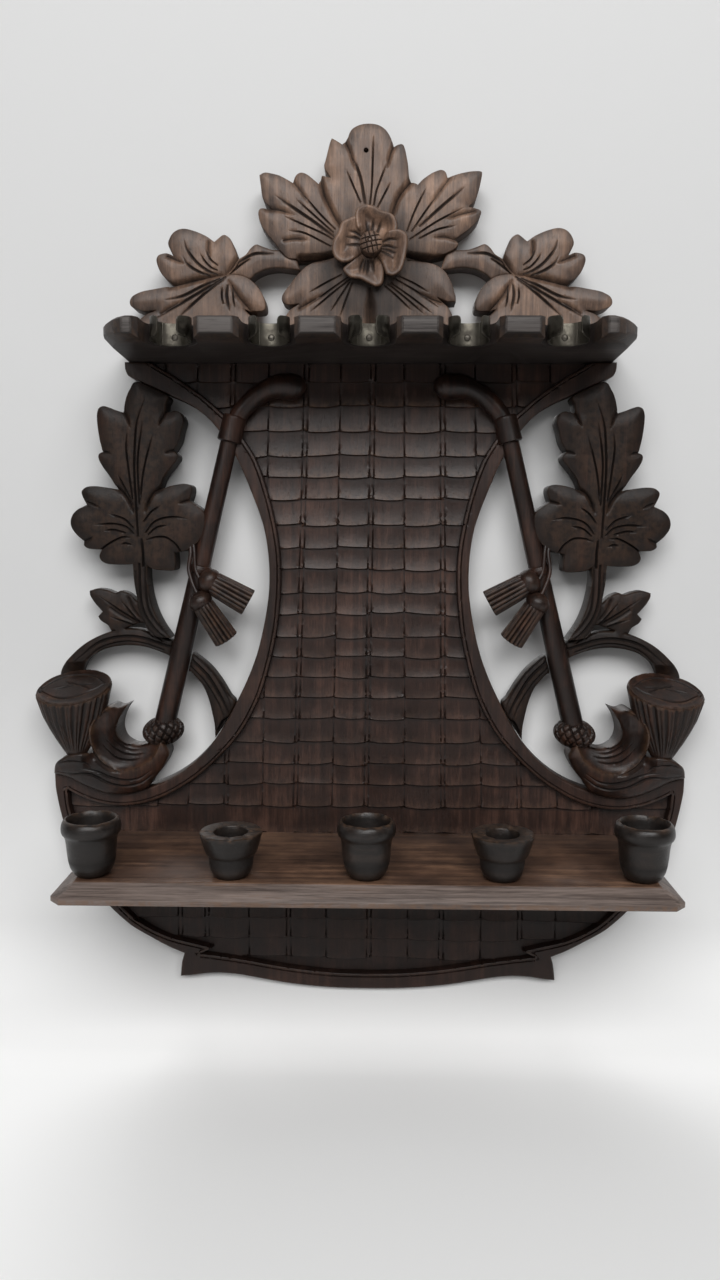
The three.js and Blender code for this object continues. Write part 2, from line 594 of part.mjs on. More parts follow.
function bowlSolid() {
  const tall = 38;
  const squash = BOWL.depth / BOWL.radius;
  const profile = [[0, -tall], [4, -tall], [6.4, -34], [10.6, -27], [14, -20], [17, -13], [19.3, -5]];
  profile.push([BOWL.radius, -1.2], [BOWL.radius, 12], [0, 12]);
  const geometry = turned(profile, 22);
  geometry.scale(1, squash, 1);
  geometry.translate(BOWL.x, BOWL.y, BOWL.z);
  const top = new THREE.BoxGeometry(60, 80, 30);
  top.translate(0, 0, 15);
  top.rotateX(THREE.MathUtils.degToRad(BOWL.lean));
  top.translate(BOWL.x, BOWL.y, BOWL.z);
  return cut(toSolid(geometry), toSolid(top));
}

function ballGeometry() {
  const profile = Array.from({ length: 9 }, (_, i) => {
    const angle = Math.PI * (i / 8 - 0.5);
    return [11.2 * Math.max(Math.cos(angle), 0), 7.4 * Math.sin(angle)];
  });
  profile[0][0] = 0;
  profile[8][0] = 0;
  const geometry = turned(profile, 16);
  geometry.scale(1, 0.74, 1);
  geometry.rotateY(THREE.MathUtils.degToRad(-12));
  geometry.translate(...stemPoint(-79.6));
  return geometry;
}

function pipeSolid() {
  const stemAxis = [-STEM.slope, 0, 1];
  const stem = bar([stemPoint(84), stemPoint(40), stemPoint(-20), stemPoint(-78)],
  [4.6, 5.2, 5.5, 5.9], 14, 6);
  const mouth = bar(
    [[35.6, PIPE_Y, 104.6], [41, PIPE_Y, 105], [47.5, PIPE_Y, 105.2], [54, PIPE_Y, 103.4],
      [60, PIPE_Y, 100],
      [65, PIPE_Y, 95.4], [69.4, PIPE_Y, 90], stemPoint(80)],
    [5.6, 7, 6.6, 5.4, 5, 4.8, 4.8, 4.8], 12, 14,
  );
  const ferrule = [[0, -6.6], [6, -6.6], [6.8, -5.8], [6.8, -4.4], [6, -3.6], [5.8, 0], [6, 3.8],
  [6.6, 4.6]];
  ferrule.push([6.6, 5.8], [5.8, 6.6], [0, 6.6]);
  const ring = [[0, -1.3], [5.8, -1.3], [6.3, 0], [5.8, 1.3], [0, 1.3]];
  const body = frontPlate(PIPE_BODY, PIPE_Y + PIPE_HALF, PIPE_Y - PIPE_HALF);
  const all = join(
    stem,
    mouth,
    toSolid(placeTurned(ferrule, stemPoint(82.8), stemAxis, 12)),
    toSolid(placeTurned(ring, stemPoint(9), stemAxis, 12)),
    toSolid(ballGeometry()),
    body,
    bowlSolid(),
  );
  return cut(all, boardSeat);
}

// Tassels on each stem: [cap centre, skirt end, cap radius, skirt radii]
const TASSELS = {
  upper: { cap: [84.6, -20.5, 3], end: [64.6, -18.5, -8.4], capRadius: 4.5, skirt: [6.2, 7.6] },
  lower: { cap: [89.2, -22.6, -7.8], end: [76.6, -18.5, -28.2], capRadius: 4.4, skirt: [5.2, 6.8] },
};

function tasselSolid({ cap, end, capRadius, skirt }) {
  const from = new THREE.Vector3(...cap);
  const to = new THREE.Vector3(...end);
  const axis = to.clone().sub(from);
  const length = axis.length();
  const r = capRadius;
  const profile = [[0, -r], [r * 0.6, -r * 0.8], [r * 0.95, -r * 0.3], [r, 0.4], [r * 0.98, 2]];
  profile.push([skirt[0], 2.4], [skirt[1], length - 1.2], [skirt[1] - 0.8, length], [0, length - 0.6]);
  return toSolid(placeTurned(profile, cap, axis.toArray(), 14));
}

const rightPipeWhole = pipeSolid();
const grown = (solid, d) => {
  const shifts = [[d, 0, 0], [-d, 0, 0], [0, d, 0], [0, -d, 0], [0, 0, d], [0, 0, -d]];
  return join(solid, ...shifts.map((s) => solid.translate(s)));
};
const leafPlate = frontPlate(LEAF, BRANCH_BACK, LEAF_FRONT);
const leafSeat = join(
  leafPlate,
  leafPlate.translate([-GAP, 0, 0]),
  leafPlate.translate([0, -LEAF_LAP, 0]),
  leafPlate.translate([-GAP, -LEAF_LAP, 0]),
  leafPlate.translate([0, 0, GAP]),
  leafPlate.translate([0, 0, -GAP]),
);

// Tassels sit on the stem with a glue line; the stem is trimmed where the leaf laps over it
const rightPipe = cut(rightPipeWhole, leafSeat);
const pipeSeat = grown(rightPipeWhole, GAP);
const rightBranch = cut(
  join(leafPlate, frontPlate(SMALL_LEAF, BRANCH_BACK, TWIG_FRONT), frontPlate(TWIG, BRANCH_BACK, TWIG_FRONT)),
  cut(pipeSeat, leafSeat),
  boardSeat,
);
const upperTassel = cut(tasselSolid(TASSELS.upper), pipeSeat);
const lowerTassel = cut(tasselSolid(TASSELS.lower), pipeSeat, grown(upperTassel, GAP));

// Assembly
const rack = new THREE.Group();
rack.name = "pipe_rack";

function addMesh(name, geometry, material, parent = rack) {
  const mesh = new THREE.Mesh(geometry, material);
  mesh.name = name;
  parent.add(mesh);
  return mesh;
}
const addSolid = (name, solid, material) => addMesh(name, toGeometry(solid), material);

addSolid("back_board", board, WALNUT());
addSolid("upper_shelf", upperShelf, DARK_WALNUT());
addSolid("lower_shelf", lowerShelf, TRAY_WOOD());
addSolid("crest", crestSolid(), WALNUT());
addSolid("rosette_petals", frontPlate(PETALS, ROSETTE.back, ROSETTE.front), WALNUT());

const BUTTON = [[0, 0], [5.6, 0], [5.8, 1.4], [5.2, 3], [3.6, 4.2], [0, 4.7]];
const buttonAt = [ROSETTE.x, ROSETTE.front - GAP, ROSETTE.z];
addMesh("rosette_button", placeTurned(BUTTON, buttonAt, [0, -1, 0], 20), WALNUT());

addSolid("right_pipe", rightPipe, WALNUT());
addSolid("left_pipe", mirrorX(rightPipe), WALNUT());
addSolid("right_branch", rightBranch, WALNUT());
addSolid("left_branch", mirrorX(rightBranch), WALNUT());
addSolid("right_upper_tassel", upperTassel, DARK_WALNUT());
addSolid("left_upper_tassel", mirrorX(upperTassel), DARK_WALNUT());
addSolid("right_lower_tassel", lowerTassel, DARK_WALNUT());
addSolid("left_lower_tassel", mirrorX(lowerTassel), DARK_WALNUT());

CUP_X.forEach((x, i) => {
  const cup = addMesh(`cup_${i + 1}`, turned(CUP_PROFILES[i], CUP_SIDES), DARK_WALNUT());
  cup.position.set(x, CUP_Y, TRAY_Z.top);
});

NOTCH_X.forEach((x, i) => {
  const clip = new THREE.Group();
  clip.position.set(x, CLIP.y, CLIP.z);
  clip.rotation.x = clipTilt;
  rack.add(clip);
  addMesh(`clip_${i + 1}_base`, toGeometry(clipBase()), TARNISHED(), clip);
  addMesh(`clip_${i + 1}_left_arm`, toGeometry(clipArm(-1)), TARNISHED(), clip);
  addMesh(`clip_${i + 1}_right_arm`, toGeometry(clipArm(1)), TARNISHED(), clip);
  addMesh(`clip_${i + 1}_nail`, toGeometry(clipNail()), IRON(), clip);
});

const SCREW_SETS = {
  lower_shelf_screw: TRAY_SCREWS,
  upper_shelf_screw: SHELF_SCREWS,
  crest_screw: CREST_SCREWS,
};
for (const [name, screws] of Object.entries(SCREW_SETS)) {
  screws.forEach((s, i) => addMesh(`${name}_${i + 1}`, screwGeometry(s.at, s.axis, s.length), IRON()));
}

export default rack;
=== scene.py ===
# %% [markdown]
# A carved walnut pipe rack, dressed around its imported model.
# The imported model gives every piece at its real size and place. This lesson makes the surfaces that a carver,
# a turner and a smith would leave: leaves in relief, a gouged field, turned cups and bent steel clips.
# Lengths are written in millimetres and turned into metres where a mesh is made.

# %% Load the frame
import math

import bpy
import numpy as np
from mathutils import Matrix, Vector
from mathutils.geometry import delaunay_2d_cdt


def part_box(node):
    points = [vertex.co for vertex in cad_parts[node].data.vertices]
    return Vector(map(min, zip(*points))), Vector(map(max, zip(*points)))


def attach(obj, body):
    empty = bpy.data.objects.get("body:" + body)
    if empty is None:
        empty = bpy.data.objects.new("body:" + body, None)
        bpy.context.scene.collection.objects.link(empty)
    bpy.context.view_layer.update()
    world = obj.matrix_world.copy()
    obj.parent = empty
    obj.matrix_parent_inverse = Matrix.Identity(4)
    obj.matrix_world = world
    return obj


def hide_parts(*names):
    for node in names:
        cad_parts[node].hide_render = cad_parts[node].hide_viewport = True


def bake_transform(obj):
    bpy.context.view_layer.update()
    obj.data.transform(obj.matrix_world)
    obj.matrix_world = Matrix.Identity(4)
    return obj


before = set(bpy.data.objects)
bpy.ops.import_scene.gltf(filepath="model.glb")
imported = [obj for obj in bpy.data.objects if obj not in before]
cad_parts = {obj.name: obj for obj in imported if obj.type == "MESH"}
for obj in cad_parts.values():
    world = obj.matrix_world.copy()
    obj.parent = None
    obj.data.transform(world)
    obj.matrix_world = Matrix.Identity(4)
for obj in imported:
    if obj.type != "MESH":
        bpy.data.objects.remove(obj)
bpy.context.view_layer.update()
MM = 0.001
SEED = 7
bpy.ops.object.select_all(action="DESELECT")


def node_box(node):
    """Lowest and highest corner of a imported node, in millimetres."""
    low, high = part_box(node)
    return np.array(low) / MM, np.array(high) / MM


# %% [markdown]
# The camera stands where the photographer stood: half a metre away, a little above the rack's waist and
# tipped down, which is why the lower shelf shows its top and the upper shelf its underside.

# %% Camera
CAMERA_PLACE = (4.4, -530.0, 31.5)
CAMERA_PITCH = math.radians(6.67)
CAMERA_YAW = math.radians(-1.0)
CAMERA_ROLL = math.radians(0.2)
CAMERA_LENS = 27.0
SENSOR = 36.0


def add_camera():
    """A camera at the photograph's place, looking at the rack."""
    data = bpy.data.cameras.new("camera")
    data.lens = CAMERA_LENS
    data.sensor_width = SENSOR
    camera = bpy.data.objects.new("camera", data)
    bpy.context.scene.collection.objects.link(camera)
    turn = Matrix.Rotation(-CAMERA_YAW, 3, "Z") @ Matrix.Rotation(math.pi / 2 - CAMERA_PITCH, 3, "X")
    turn = turn @ Matrix.Rotation(CAMERA_ROLL, 3, "Z")
    camera.rotation_euler = turn.to_euler()
    camera.location = Vector(CAMERA_PLACE) * MM
    bpy.context.scene.camera = camera
    return camera


camera = add_camera()
print("camera at", tuple(round(v, 3) for v in camera.location))

# %% [markdown]
# Shader sums are easier to read as sums. This small class wraps one socket of a node tree, so that
# `1 - mask * 0.5` adds the Math nodes it needs. Any other node comes from one method, `node`.


# %% Shader expressions
class Socket:
    """One output of a material's node tree, used like a number."""

    def __init__(self, tree, socket):
        self.tree = tree
        self.socket = socket

    def node(self, kind, settings=None, output=0, **values):
        """Adds a node: its settings first, then the values or links of its sockets, by name or by number."""
        made = self.tree.nodes.new(kind)
        for key, value in (settings or {}).items():
            if key == "stops":
                set_stops(made.color_ramp, value)
            else:
                setattr(made, key, value)
        for key, value in values.items():
            target = made.inputs[int(key[1:])] if key[1:].isdigit() else made.inputs[key.replace("_", " ")]
            self.link(value, target)
        return Socket(self.tree, made.outputs[output])

    def link(self, value, target):
        """Joins a value or another socket to an input."""
        if isinstance(value, Socket):
            self.tree.links.new(value.socket, target)
        else:
            target.default_value = value

    def math(self, operation, *others, clamp=False):
        """One Math node on this value and the others."""
        values = {f"i{place}": value for place, value in enumerate((self, *others))}
        return self.node("ShaderNodeMath", {"operation": operation, "use_clamp": clamp}, **values)

    def __add__(self, other):
        return self.math("ADD", other)

    def __radd__(self, other):
        return self + other

    def __sub__(self, other):
        return self.math("SUBTRACT", other)

    def __rsub__(self, other):
        return (self * -1) + other

    def __mul__(self, other):
        return self.math("MULTIPLY", other)

    def __rmul__(self, other):
        return self * other

    def clamp(self):
        """The value held between 0 and 1."""
        return self.math("ADD", 0.0, clamp=True)

    def band(self, low, high):
        """0 below low, 1 above high, smooth between."""
        settings = {"interpolation_type": "SMOOTHSTEP"}
        return self.node("ShaderNodeMapRange", settings, Value=self, From_Min=low, From_Max=high)


def set_stops(ramp, stops):
    """Gives a colour ramp its stops: (place, colour)."""
    while len(ramp.elements) < len(stops):
        ramp.elements.new(1.0)
    for element, (place, colour) in zip(ramp.elements, stops):
        element.position = place
        element.color = (*colour, 1.0)


def mix(first, second, factor):
    """One colour laid over another by a factor."""
    settings = {"data_type": "RGBA"}
    return factor.node("ShaderNodeMix", settings, output=2, i0=factor, i6=first, i7=second)


def colour(red, green, blue):
    """A colour written in linear light."""
    return (red, green, blue, 1.0)


# %% [markdown]
# Every wood here is the same walnut under the same dark stain and wax, so one recipe makes them all. It has
# long fibres along the grain, pores, cloudy patches where the stain took unevenly, dark dirt and painted
# shade in the cuts, hollows and on the sides, and a paler, redder colour where edges were handled, which on
# some raised parts is a painted sheen. The carving code leaves two marks on each point, dirt with painted
# shade, and wear with painted sheen, and the recipe reads them.


# %% Wood recipe
GRAIN = {"X": (0.035, 1.0, 1.0), "Z": (1.0, 1.0, 0.035)}
FIBRE = (1500.0, 4.0, 0.65)
STREAK = (260.0, 5.0, 0.6, 0.6)
CLOUD = (28.0, 3.0, 0.55)
PATCH = (75.0, 4.0, 0.6)
PORE = (3800.0, 2.0, 0.5)
SCUFF = (330.0, 4.0, 0.6)
GRIT = (900.0, 3.0)
STAIN_AT = (0.32, 0.5, 0.7)
BASE_SHINE = 0.17
# Colour of worn edges, also laid on as a painted sheen and highlight.
WORN_EDGE_AND_SHEEN = (0.15, 0.082, 0.046)
# Colour of dirt in the cuts, also laid on as painted shade.
CUT_DIRT_AND_SHADE = (0.006, 0.0045, 0.004)


def new_material(name):
    """An empty material with a Principled shader; returns it, its first socket and the shader."""
    material = bpy.data.materials.new(name)
    material.use_nodes = True
    tree = material.node_tree
    tree.nodes.clear()
    output = tree.nodes.new("ShaderNodeOutputMaterial")
    shader = tree.nodes.new("ShaderNodeBsdfPrincipled")
    tree.links.new(shader.outputs[0], output.inputs[0])
    coordinates = tree.nodes.new("ShaderNodeTexCoord")
    return material, Socket(tree, coordinates.outputs["Object"]), shader


def noise(place, scale, detail=3.0, roughness=0.5, distortion=0.0):
    """Noise of one size; the scale is in lumps per metre."""
    settings = {"noise_dimensions": "3D"}
    values = {"Vector": place, "Scale": scale, "Detail": detail, "Roughness": roughness}
    return place.node("ShaderNodeTexNoise", settings, Distortion=distortion, **values)


def attribute(place, name):
    """A number that the carving left on each point."""
    return place.node("ShaderNodeAttribute", {"attribute_name": name}, output=2)


def stretched(place, scale):
    """The same place, squeezed along the grain."""
    return place.node("ShaderNodeMapping", {"vector_type": "POINT"}, Vector=place, Scale=scale)


def wood(name, grain, dark, middle, light, shine=0.42, gloss=0.4, edge=None, rubbed=None):
    """Stained and waxed walnut with its grain along one axis."""
    material, place, shader = new_material(name)
    along = stretched(place, GRAIN[grain])
    fibre = noise(along, *FIBRE)
    streak = noise(along, *STREAK)
    cloud = noise(place, *CLOUD)
    pore = noise(along, *PORE).band(0.62, 0.72)
    patch = noise(place, *PATCH)
    tone = (streak * 0.46 + cloud * 0.34 + patch * 0.3 + fibre * 0.22 - 0.16).clamp()
    settings = {"stops": list(zip(STAIN_AT, (dark, middle, light)))}
    stain = place.node("ShaderNodeValToRGB", settings, Fac=tone)
    if rubbed is not None:
        lines = (streak * 0.6 + fibre * 0.4).band(0.36, 0.62)
        bare = mix(colour(*rubbed["dark"]), colour(*rubbed["light"]), lines)
        stain = mix(stain, bare, rubbed["where"](place))
    # The dirt mark holds dirt and painted shade; the wear mark holds wear and painted sheen.
    dirt = attribute(place, "dirt")
    wear = attribute(place, "wear")
    if edge is not None:
        wear = (wear + edge(place, cloud)).clamp()
    scuffed_and_sheen = (wear * noise(place, *SCUFF).band(0.34, 0.62)).clamp()
    worn_and_sheened = mix(stain, colour(*WORN_EDGE_AND_SHEEN), scuffed_and_sheen * 0.5)
    soiled_and_shaded = mix(worn_and_sheened, colour(*CUT_DIRT_AND_SHADE), (dirt * 0.86 + pore * 0.25).clamp())
    place.link(soiled_and_shaded, shader.inputs["Base Color"])
    dull = (cloud * 0.2 + fibre * 0.14 + dirt * 0.25 + (shine - BASE_SHINE)).clamp()
    place.link(dull, shader.inputs["Roughness"])
    surface = fibre * 0.5 + streak * 0.35 - pore * 0.3 + noise(place, *GRIT) * 0.25
    bump = place.node("ShaderNodeBump", Strength=0.5, Distance=0.0003, Height=surface)
    place.link(bump, shader.inputs["Normal"])
    shader.inputs["Specular IOR Level"].default_value = gloss
    return material


carved_walnut = wood("carved_walnut", "Z", (0.017, 0.010, 0.0075), (0.105, 0.064, 0.045),
                     (0.32, 0.195, 0.130), 0.44)
board_walnut = wood("board_walnut", "Z", (0.008, 0.0040, 0.0030), (0.023, 0.0108, 0.0076),
                    (0.074, 0.036, 0.025), 0.36, 0.28)
pipe_walnut = wood("pipe_walnut", "Z", (0.005, 0.0034, 0.0029), (0.014, 0.0074, 0.0056),
                   (0.056, 0.024, 0.015), 0.36, 0.27)
leaf_walnut = wood("leaf_walnut", "Z", (0.005, 0.0036, 0.0032), (0.012, 0.0074, 0.0058),
                   (0.036, 0.0175, 0.0115), 0.42, 0.18)
turned_walnut = wood("turned_walnut", "X", (0.006, 0.0048, 0.0042), (0.0120, 0.0094, 0.0082),
                     (0.030, 0.021, 0.017), 0.34, 0.32)
print("woods", [m.name for m in bpy.data.materials if "walnut" in m.name])

# %% [markdown]
# The two shelves are the same wood with its grain running left to right; the upper one is painted darker, as
# the shade on its underside. Years of hands and of pipes set down have rubbed the stain from their front
# edges, so these two read their place: the mask is a band near the edge.

# %% Shelf woods
TRAY_LOW, TRAY_HIGH = node_box("lower_shelf")
SHELF_LOW, SHELF_HIGH = node_box("upper_shelf")
TRAY_RIM = 2.6
TRAY_BEVEL = {"side": 11.0, "front": 7.0}


def axis(place, letter):
    """One of the three object coordinates, in millimetres."""
    number = "XYZ".index(letter)
    return place.node("ShaderNodeSeparateXYZ", output=number, Vector=place) * 1000.0


def tray_edge(place, cloud):
    """Worn where the tray's lower rim and the ridge of its front bevel stand out."""
    rim = 1.0 - axis(place, "Z").band(TRAY_LOW[2] + 1.4, TRAY_LOW[2] + TRAY_RIM + 0.6)
    ridge_line = TRAY_LOW[1] + TRAY_BEVEL["front"]
    front = axis(place, "Y")
    ridge = 1.0 - front.band(ridge_line + 0.2, ridge_line + 1.6)
    ridge = ridge * front.band(ridge_line - 1.0, ridge_line - 0.1)
    patches = noise(stretched(place, GRAIN["X"]), 420.0, 3.0).band(0.56, 0.68) * cloud.band(0.42, 0.6)
    return rim * 1.5 + ridge * 0.7 * cloud + patches * 0.9


def tray_bevel(place):
    """The tray's broad bevels, where the stain has been rubbed grey."""
    ridge_line = TRAY_LOW[1] + TRAY_BEVEL["front"]
    front = 1.0 - axis(place, "Y").band(ridge_line - 0.5, ridge_line)
    ends = axis(place, "X").math("ABSOLUTE").band(TRAY_HIGH[0] - TRAY_BEVEL["side"], TRAY_HIGH[0] - 10.5)
    return (front + ends).clamp() * 0.9


def shelf_edge(place, cloud):
    """Worn on the flared walls of the upper shelf's notches, and worn with a painted highlight along its top
    edge.
    """
    deep = axis(place, "Y")
    face = SHELF_LOW[1]
    notch = (1.0 - deep.band(face + 14.0, face + 18.0)) * deep.band(face + 0.9, face + 1.6)
    front = 1.0 - deep.band(face + 1.0, face + 7.0)
    # The band along the top edge is wear and a painted highlight of the lit top chamfer.
    return notch * 0.8 * cloud + axis(place, "Z").band(SHELF_HIGH[2] - 0.7, SHELF_HIGH[2]) * front * 0.5


def shelf_face(place):
    """The upper shelf's front faces, rubbed grey."""
    return (1.0 - axis(place, "Y").band(SHELF_LOW[1] + 0.6, SHELF_LOW[1] + 1.4)) * 0.85


TRAY_RUBBED = {"where": tray_bevel, "dark": (0.055, 0.040, 0.034), "light": (0.190, 0.150, 0.132)}
FACE_RUBBED = {"where": shelf_face, "dark": (0.032, 0.027, 0.025), "light": (0.105, 0.093, 0.087)}
tray_walnut = wood("tray_walnut", "X", (0.018, 0.009, 0.006), (0.092, 0.049, 0.031),
                   (0.260, 0.145, 0.085), 0.44, edge=tray_edge, rubbed=TRAY_RUBBED)
# Painted shade: the upper shelf's walnut is much darker than the tray's, for the shade on its underside.
shaded_shelf_walnut = wood("shaded_shelf_walnut", "X", (0.010, 0.008, 0.007), (0.028, 0.022, 0.020),
                    (0.060, 0.048, 0.043), 0.5, gloss=0.2, edge=shelf_edge, rubbed=FACE_RUBBED)
print("shelf woods", tray_walnut.name, shaded_shelf_walnut.name)

# %% [markdown]
# The clips are strips of spring steel gone dull and brown with age, and the nails and screws are plain iron.


# %% Metals
def metal(name, bare, stained, roughness, spots):
    """Tarnished metal: bare colour under cloudy brown stains and fine scratches."""
    material, place, shader = new_material(name)
    cloud = noise(place, 210.0, 5.0, 0.6)
    speck = noise(place, 1400.0, 3.0, 0.6)
    rust = (cloud.band(0.42, 0.68) * 0.75 + speck.band(0.6, 0.75) * spots).clamp()
    scratch = noise(stretched(place, (0.3, 0.3, 3.0)), 1600.0, 2.0)
    place.link(mix(colour(*bare), colour(*stained), rust), shader.inputs["Base Color"])
    place.link((rust * 0.3 + scratch * 0.16 + (roughness - 0.1)).clamp(), shader.inputs["Roughness"])
    place.link(1.0 - rust * 0.6, shader.inputs["Metallic"])
    bump = place.node("ShaderNodeBump", Strength=0.25, Distance=0.0002, Height=scratch + speck * 0.6)
    place.link(bump, shader.inputs["Normal"])
    return material


tarnished_steel = metal("tarnished_steel", (0.085, 0.078, 0.064), (0.032, 0.025, 0.017), 0.40, 0.4)
dull_iron = metal("dull_iron", (0.09, 0.082, 0.07), (0.035, 0.028, 0.02), 0.42, 0.6)
print("metals", tarnished_steel.name, dull_iron.name)

# %% [markdown]
# A few helpers finish a piece: it gets its material, rides on its body and hides the imported nodes that
# it stands for.


# %% Finishing helpers
def only(piece):
    """Selects one object and makes it the active one."""
    bpy.ops.object.select_all(action="DESELECT")
    piece.select_set(True)
    bpy.context.view_layer.objects.active = piece


def edited(piece, *steps):
    """Runs mesh operators, one after the other, on all of a piece in edit mode."""
    only(piece)
    bpy.ops.object.mode_set(mode="EDIT")
    bpy.ops.mesh.select_all(action="SELECT")
    for step in steps:
        step()
    bpy.ops.object.mode_set(mode="OBJECT")


def outwards():
    """Turns the selected faces of a closed piece outwards."""
    bpy.ops.mesh.normals_make_consistent(inside=False)


def settled(name, scale=(1.0, 1.0, 1.0)):
    """Names a new primitive, scales it and puts its place into its mesh."""
    made = bpy.context.object
    made.name = made.data.name = name
    made.scale = scale
    bpy.ops.object.transform_apply(location=True, rotation=True, scale=True)
    return made


def new_piece(name, points, faces, edges=()):
    """A mesh object from points in millimetres; its origin stays at the frame's."""
    mesh = bpy.data.meshes.new(name)
    metres = np.asarray(points, float) * MM
    mesh.from_pydata(metres.tolist(), list(edges), [tuple(int(i) for i in face) for face in faces])
    mesh.update()
    piece = bpy.data.objects.new(name, mesh)
    bpy.context.scene.collection.objects.link(piece)
    return piece


def smooth(piece, degrees=38.0):
    """Smooth shading that keeps the edges sharper than the angle."""
    only(piece)
    bpy.ops.object.shade_smooth_by_angle(angle=math.radians(degrees))


def finish(piece, material, body="rack", nodes=()):
    """Gives a piece its material and body, and hides the nodes that it replaces."""
    piece.data.materials.clear()
    piece.data.materials.append(material)
    if body:
        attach(piece, body)
    if nodes:
        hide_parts(*nodes)
    print(piece.name, len(piece.data.polygons), "faces")


def apply_modifiers(piece):
    """Makes every modifier of a piece final."""
    only(piece)
    for modifier in list(piece.modifiers):
        bpy.ops.object.modifier_apply(modifier=modifier.name)


def mark(piece, name, values):
    """Leaves a number on each point for the materials to read."""
    layer = piece.data.attributes.new(name, "FLOAT", "POINT")
    layer.data.foreach_set("value", np.asarray(values, np.float32))


def twin(piece, name):
    """A copy of a piece with its own mesh."""
    copy = piece.copy()
    copy.data = piece.data.copy()
    copy.name = copy.data.name = name
    bpy.context.scene.collection.objects.link(copy)
    return copy


def mirrored(piece, name):
    """The same piece on the other side of the rack."""
    copy = twin(piece, name)
    copy.data.transform(Matrix.Scale(-1.0, 4, (1, 0, 0)))
    copy.data.flip_normals()
    return copy


def both_sides(piece, name, material, nodes=(), lead=""):
    """Finishes a right-hand piece and its mirror image; nodes name the right-hand ones."""
    piece.name = piece.data.name = f"{lead}right_{name}"
    other = mirrored(piece, f"{lead}left_{name}")
    finish(piece, material, nodes=[f"right_{node}" for node in nodes])
    finish(other, material, nodes=[f"left_{node}" for node in nodes])


# %% [markdown]
# A carver starts from a sawn blank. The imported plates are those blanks, so each outline is read from a
# plate's flat face: the edges of the triangles in that plane that no neighbour shares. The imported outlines
# have few points, and a smooth curve is drawn through them, except at the sharp corners.


# %% Outlines of the blanks
SAME_LEVEL = 0.05
SMALLEST_AREA = 60.0


def flat_loops(node, level):
    """Closed outlines, in millimetres, of a node's flat faces at one depth; the largest comes first."""
    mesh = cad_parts[node].data
    points = np.array([v.co for v in mesh.vertices]) / MM
    onward = {}
    shared = set()
    for face in mesh.polygons:
        corners = points[list(face.vertices)]
        if np.abs(corners[:, 1] - level).max() > SAME_LEVEL:
            continue
        keys = [tuple(np.round(c[[0, 2]], 2)) for c in corners]
        for a, b in zip(keys, keys[1:] + keys[:1]):
            shared.add((a, b))
    for a, b in shared:
        if (b, a) not in shared and a != b:
            onward.setdefault(a, []).append(b)
    loops = []
    while onward:
        start = min(onward)
        loop = [start]
        while loop[-1] in onward:
            following = onward[loop[-1]].pop()
            if not onward[loop[-1]]:
                del onward[loop[-1]]
            if following == start:
                break
            loop.append(following)
        loop = np.array(loop)
        if abs(area(loop)) > SMALLEST_AREA:
            loops.append(loop if area(loop) > 0 else loop[::-1])
    return sorted(loops, key=lambda found: -area(found))


def area(loop):
    """Signed area of a closed outline."""
    u, v = loop[:, 0], loop[:, 1]
    return 0.5 * float(np.sum(u * np.roll(v, -1) - v * np.roll(u, -1)))


def through(points, spacing):
    """A smooth curve through an open run of points, sampled at a spacing."""
    points = np.asarray(points, float)
    if len(points) < 3:
        return straight(points, spacing)
    ends = np.vstack([2 * points[0] - points[1], points, 2 * points[-1] - points[-2]])
    curve = [points[:1]]
    for p0, p1, p2, p3 in zip(ends, ends[1:], ends[2:], ends[3:]):
        length = np.linalg.norm(p2 - p1)
        count = max(1, int(math.ceil(length / spacing)))
        t = np.linspace(0, 1, count + 1)[1:, None]
        reach = min(length, np.linalg.norm(p1 - p0) + 1e-6, np.linalg.norm(p3 - p2) + 1e-6) / (length + 1e-9)
        m1 = (p2 - p0) * 0.5 * reach ** 0.5
        m2 = (p3 - p1) * 0.5 * reach ** 0.5
        t2, t3 = t * t, t * t * t
        curve.append(p1 * (2 * t3 - 3 * t2 + 1) + m1 * (t3 - 2 * t2 + t)
                     + p2 * (3 * t2 - 2 * t3) + m2 * (t3 - t2))
    return np.vstack(curve)


def straight(points, spacing):
    """Straight runs between points, sampled at a spacing."""
    line = [points[:1]]
    for a, b in zip(points, points[1:]):
        count = max(1, int(math.ceil(np.linalg.norm(b - a) / spacing)))
        line.append(a + (b - a) * np.linspace(0, 1, count + 1)[1:, None])
    return np.vstack(line)


def rounded_outline(loop, spacing, hollow=48.0, bulge=72.0):
    """The outline redrawn smooth, with its sharp corners kept; hollow corners count as sharp sooner."""
    before = loop - np.roll(loop, 1, axis=0)
    after = np.roll(loop, -1, axis=0) - loop
    cross = before[:, 0] * after[:, 1] - before[:, 1] * after[:, 0]
    turn = np.degrees(np.arctan2(cross, (before * after).sum(1)))
    corners = np.flatnonzero((turn < -hollow) | (turn > bulge))
    if len(corners) == 0:
        ring = np.vstack([loop[-2:], loop, loop[:3]])
        curve = through(ring, spacing)
        return tidy_loop(curve[nearest(curve, loop[0]):nearest(curve, loop[0], last=True)], spacing)
    pieces = []
    for here, there in zip(corners, np.append(corners[1:], corners[0] + len(loop))):
        run = loop[np.arange(here, there + 1) % len(loop)]
        pieces.append(through(run, spacing)[:-1])
    return tidy_loop(np.vstack(pieces), spacing)


def nearest(curve, point, last=False):
    """Number of the curve point nearest to a point, first or last along the curve."""
    gap = np.linalg.norm(curve - point, axis=1)
    close = np.flatnonzero(gap < gap.min() + 1e-6)
    return int(close[-1] if last else close[0])


def tidy_loop(loop, spacing):
    """Drops points that fall almost on the one before."""
    keep = np.linalg.norm(loop - np.roll(loop, 1, axis=0), axis=1) > spacing * 0.12
    return loop[keep]


branch_leaf = flat_loops("right_branch", -18.5)
print("leaf outline", len(branch_leaf[0]), "points, area", round(area(branch_leaf[0])), "mm2")

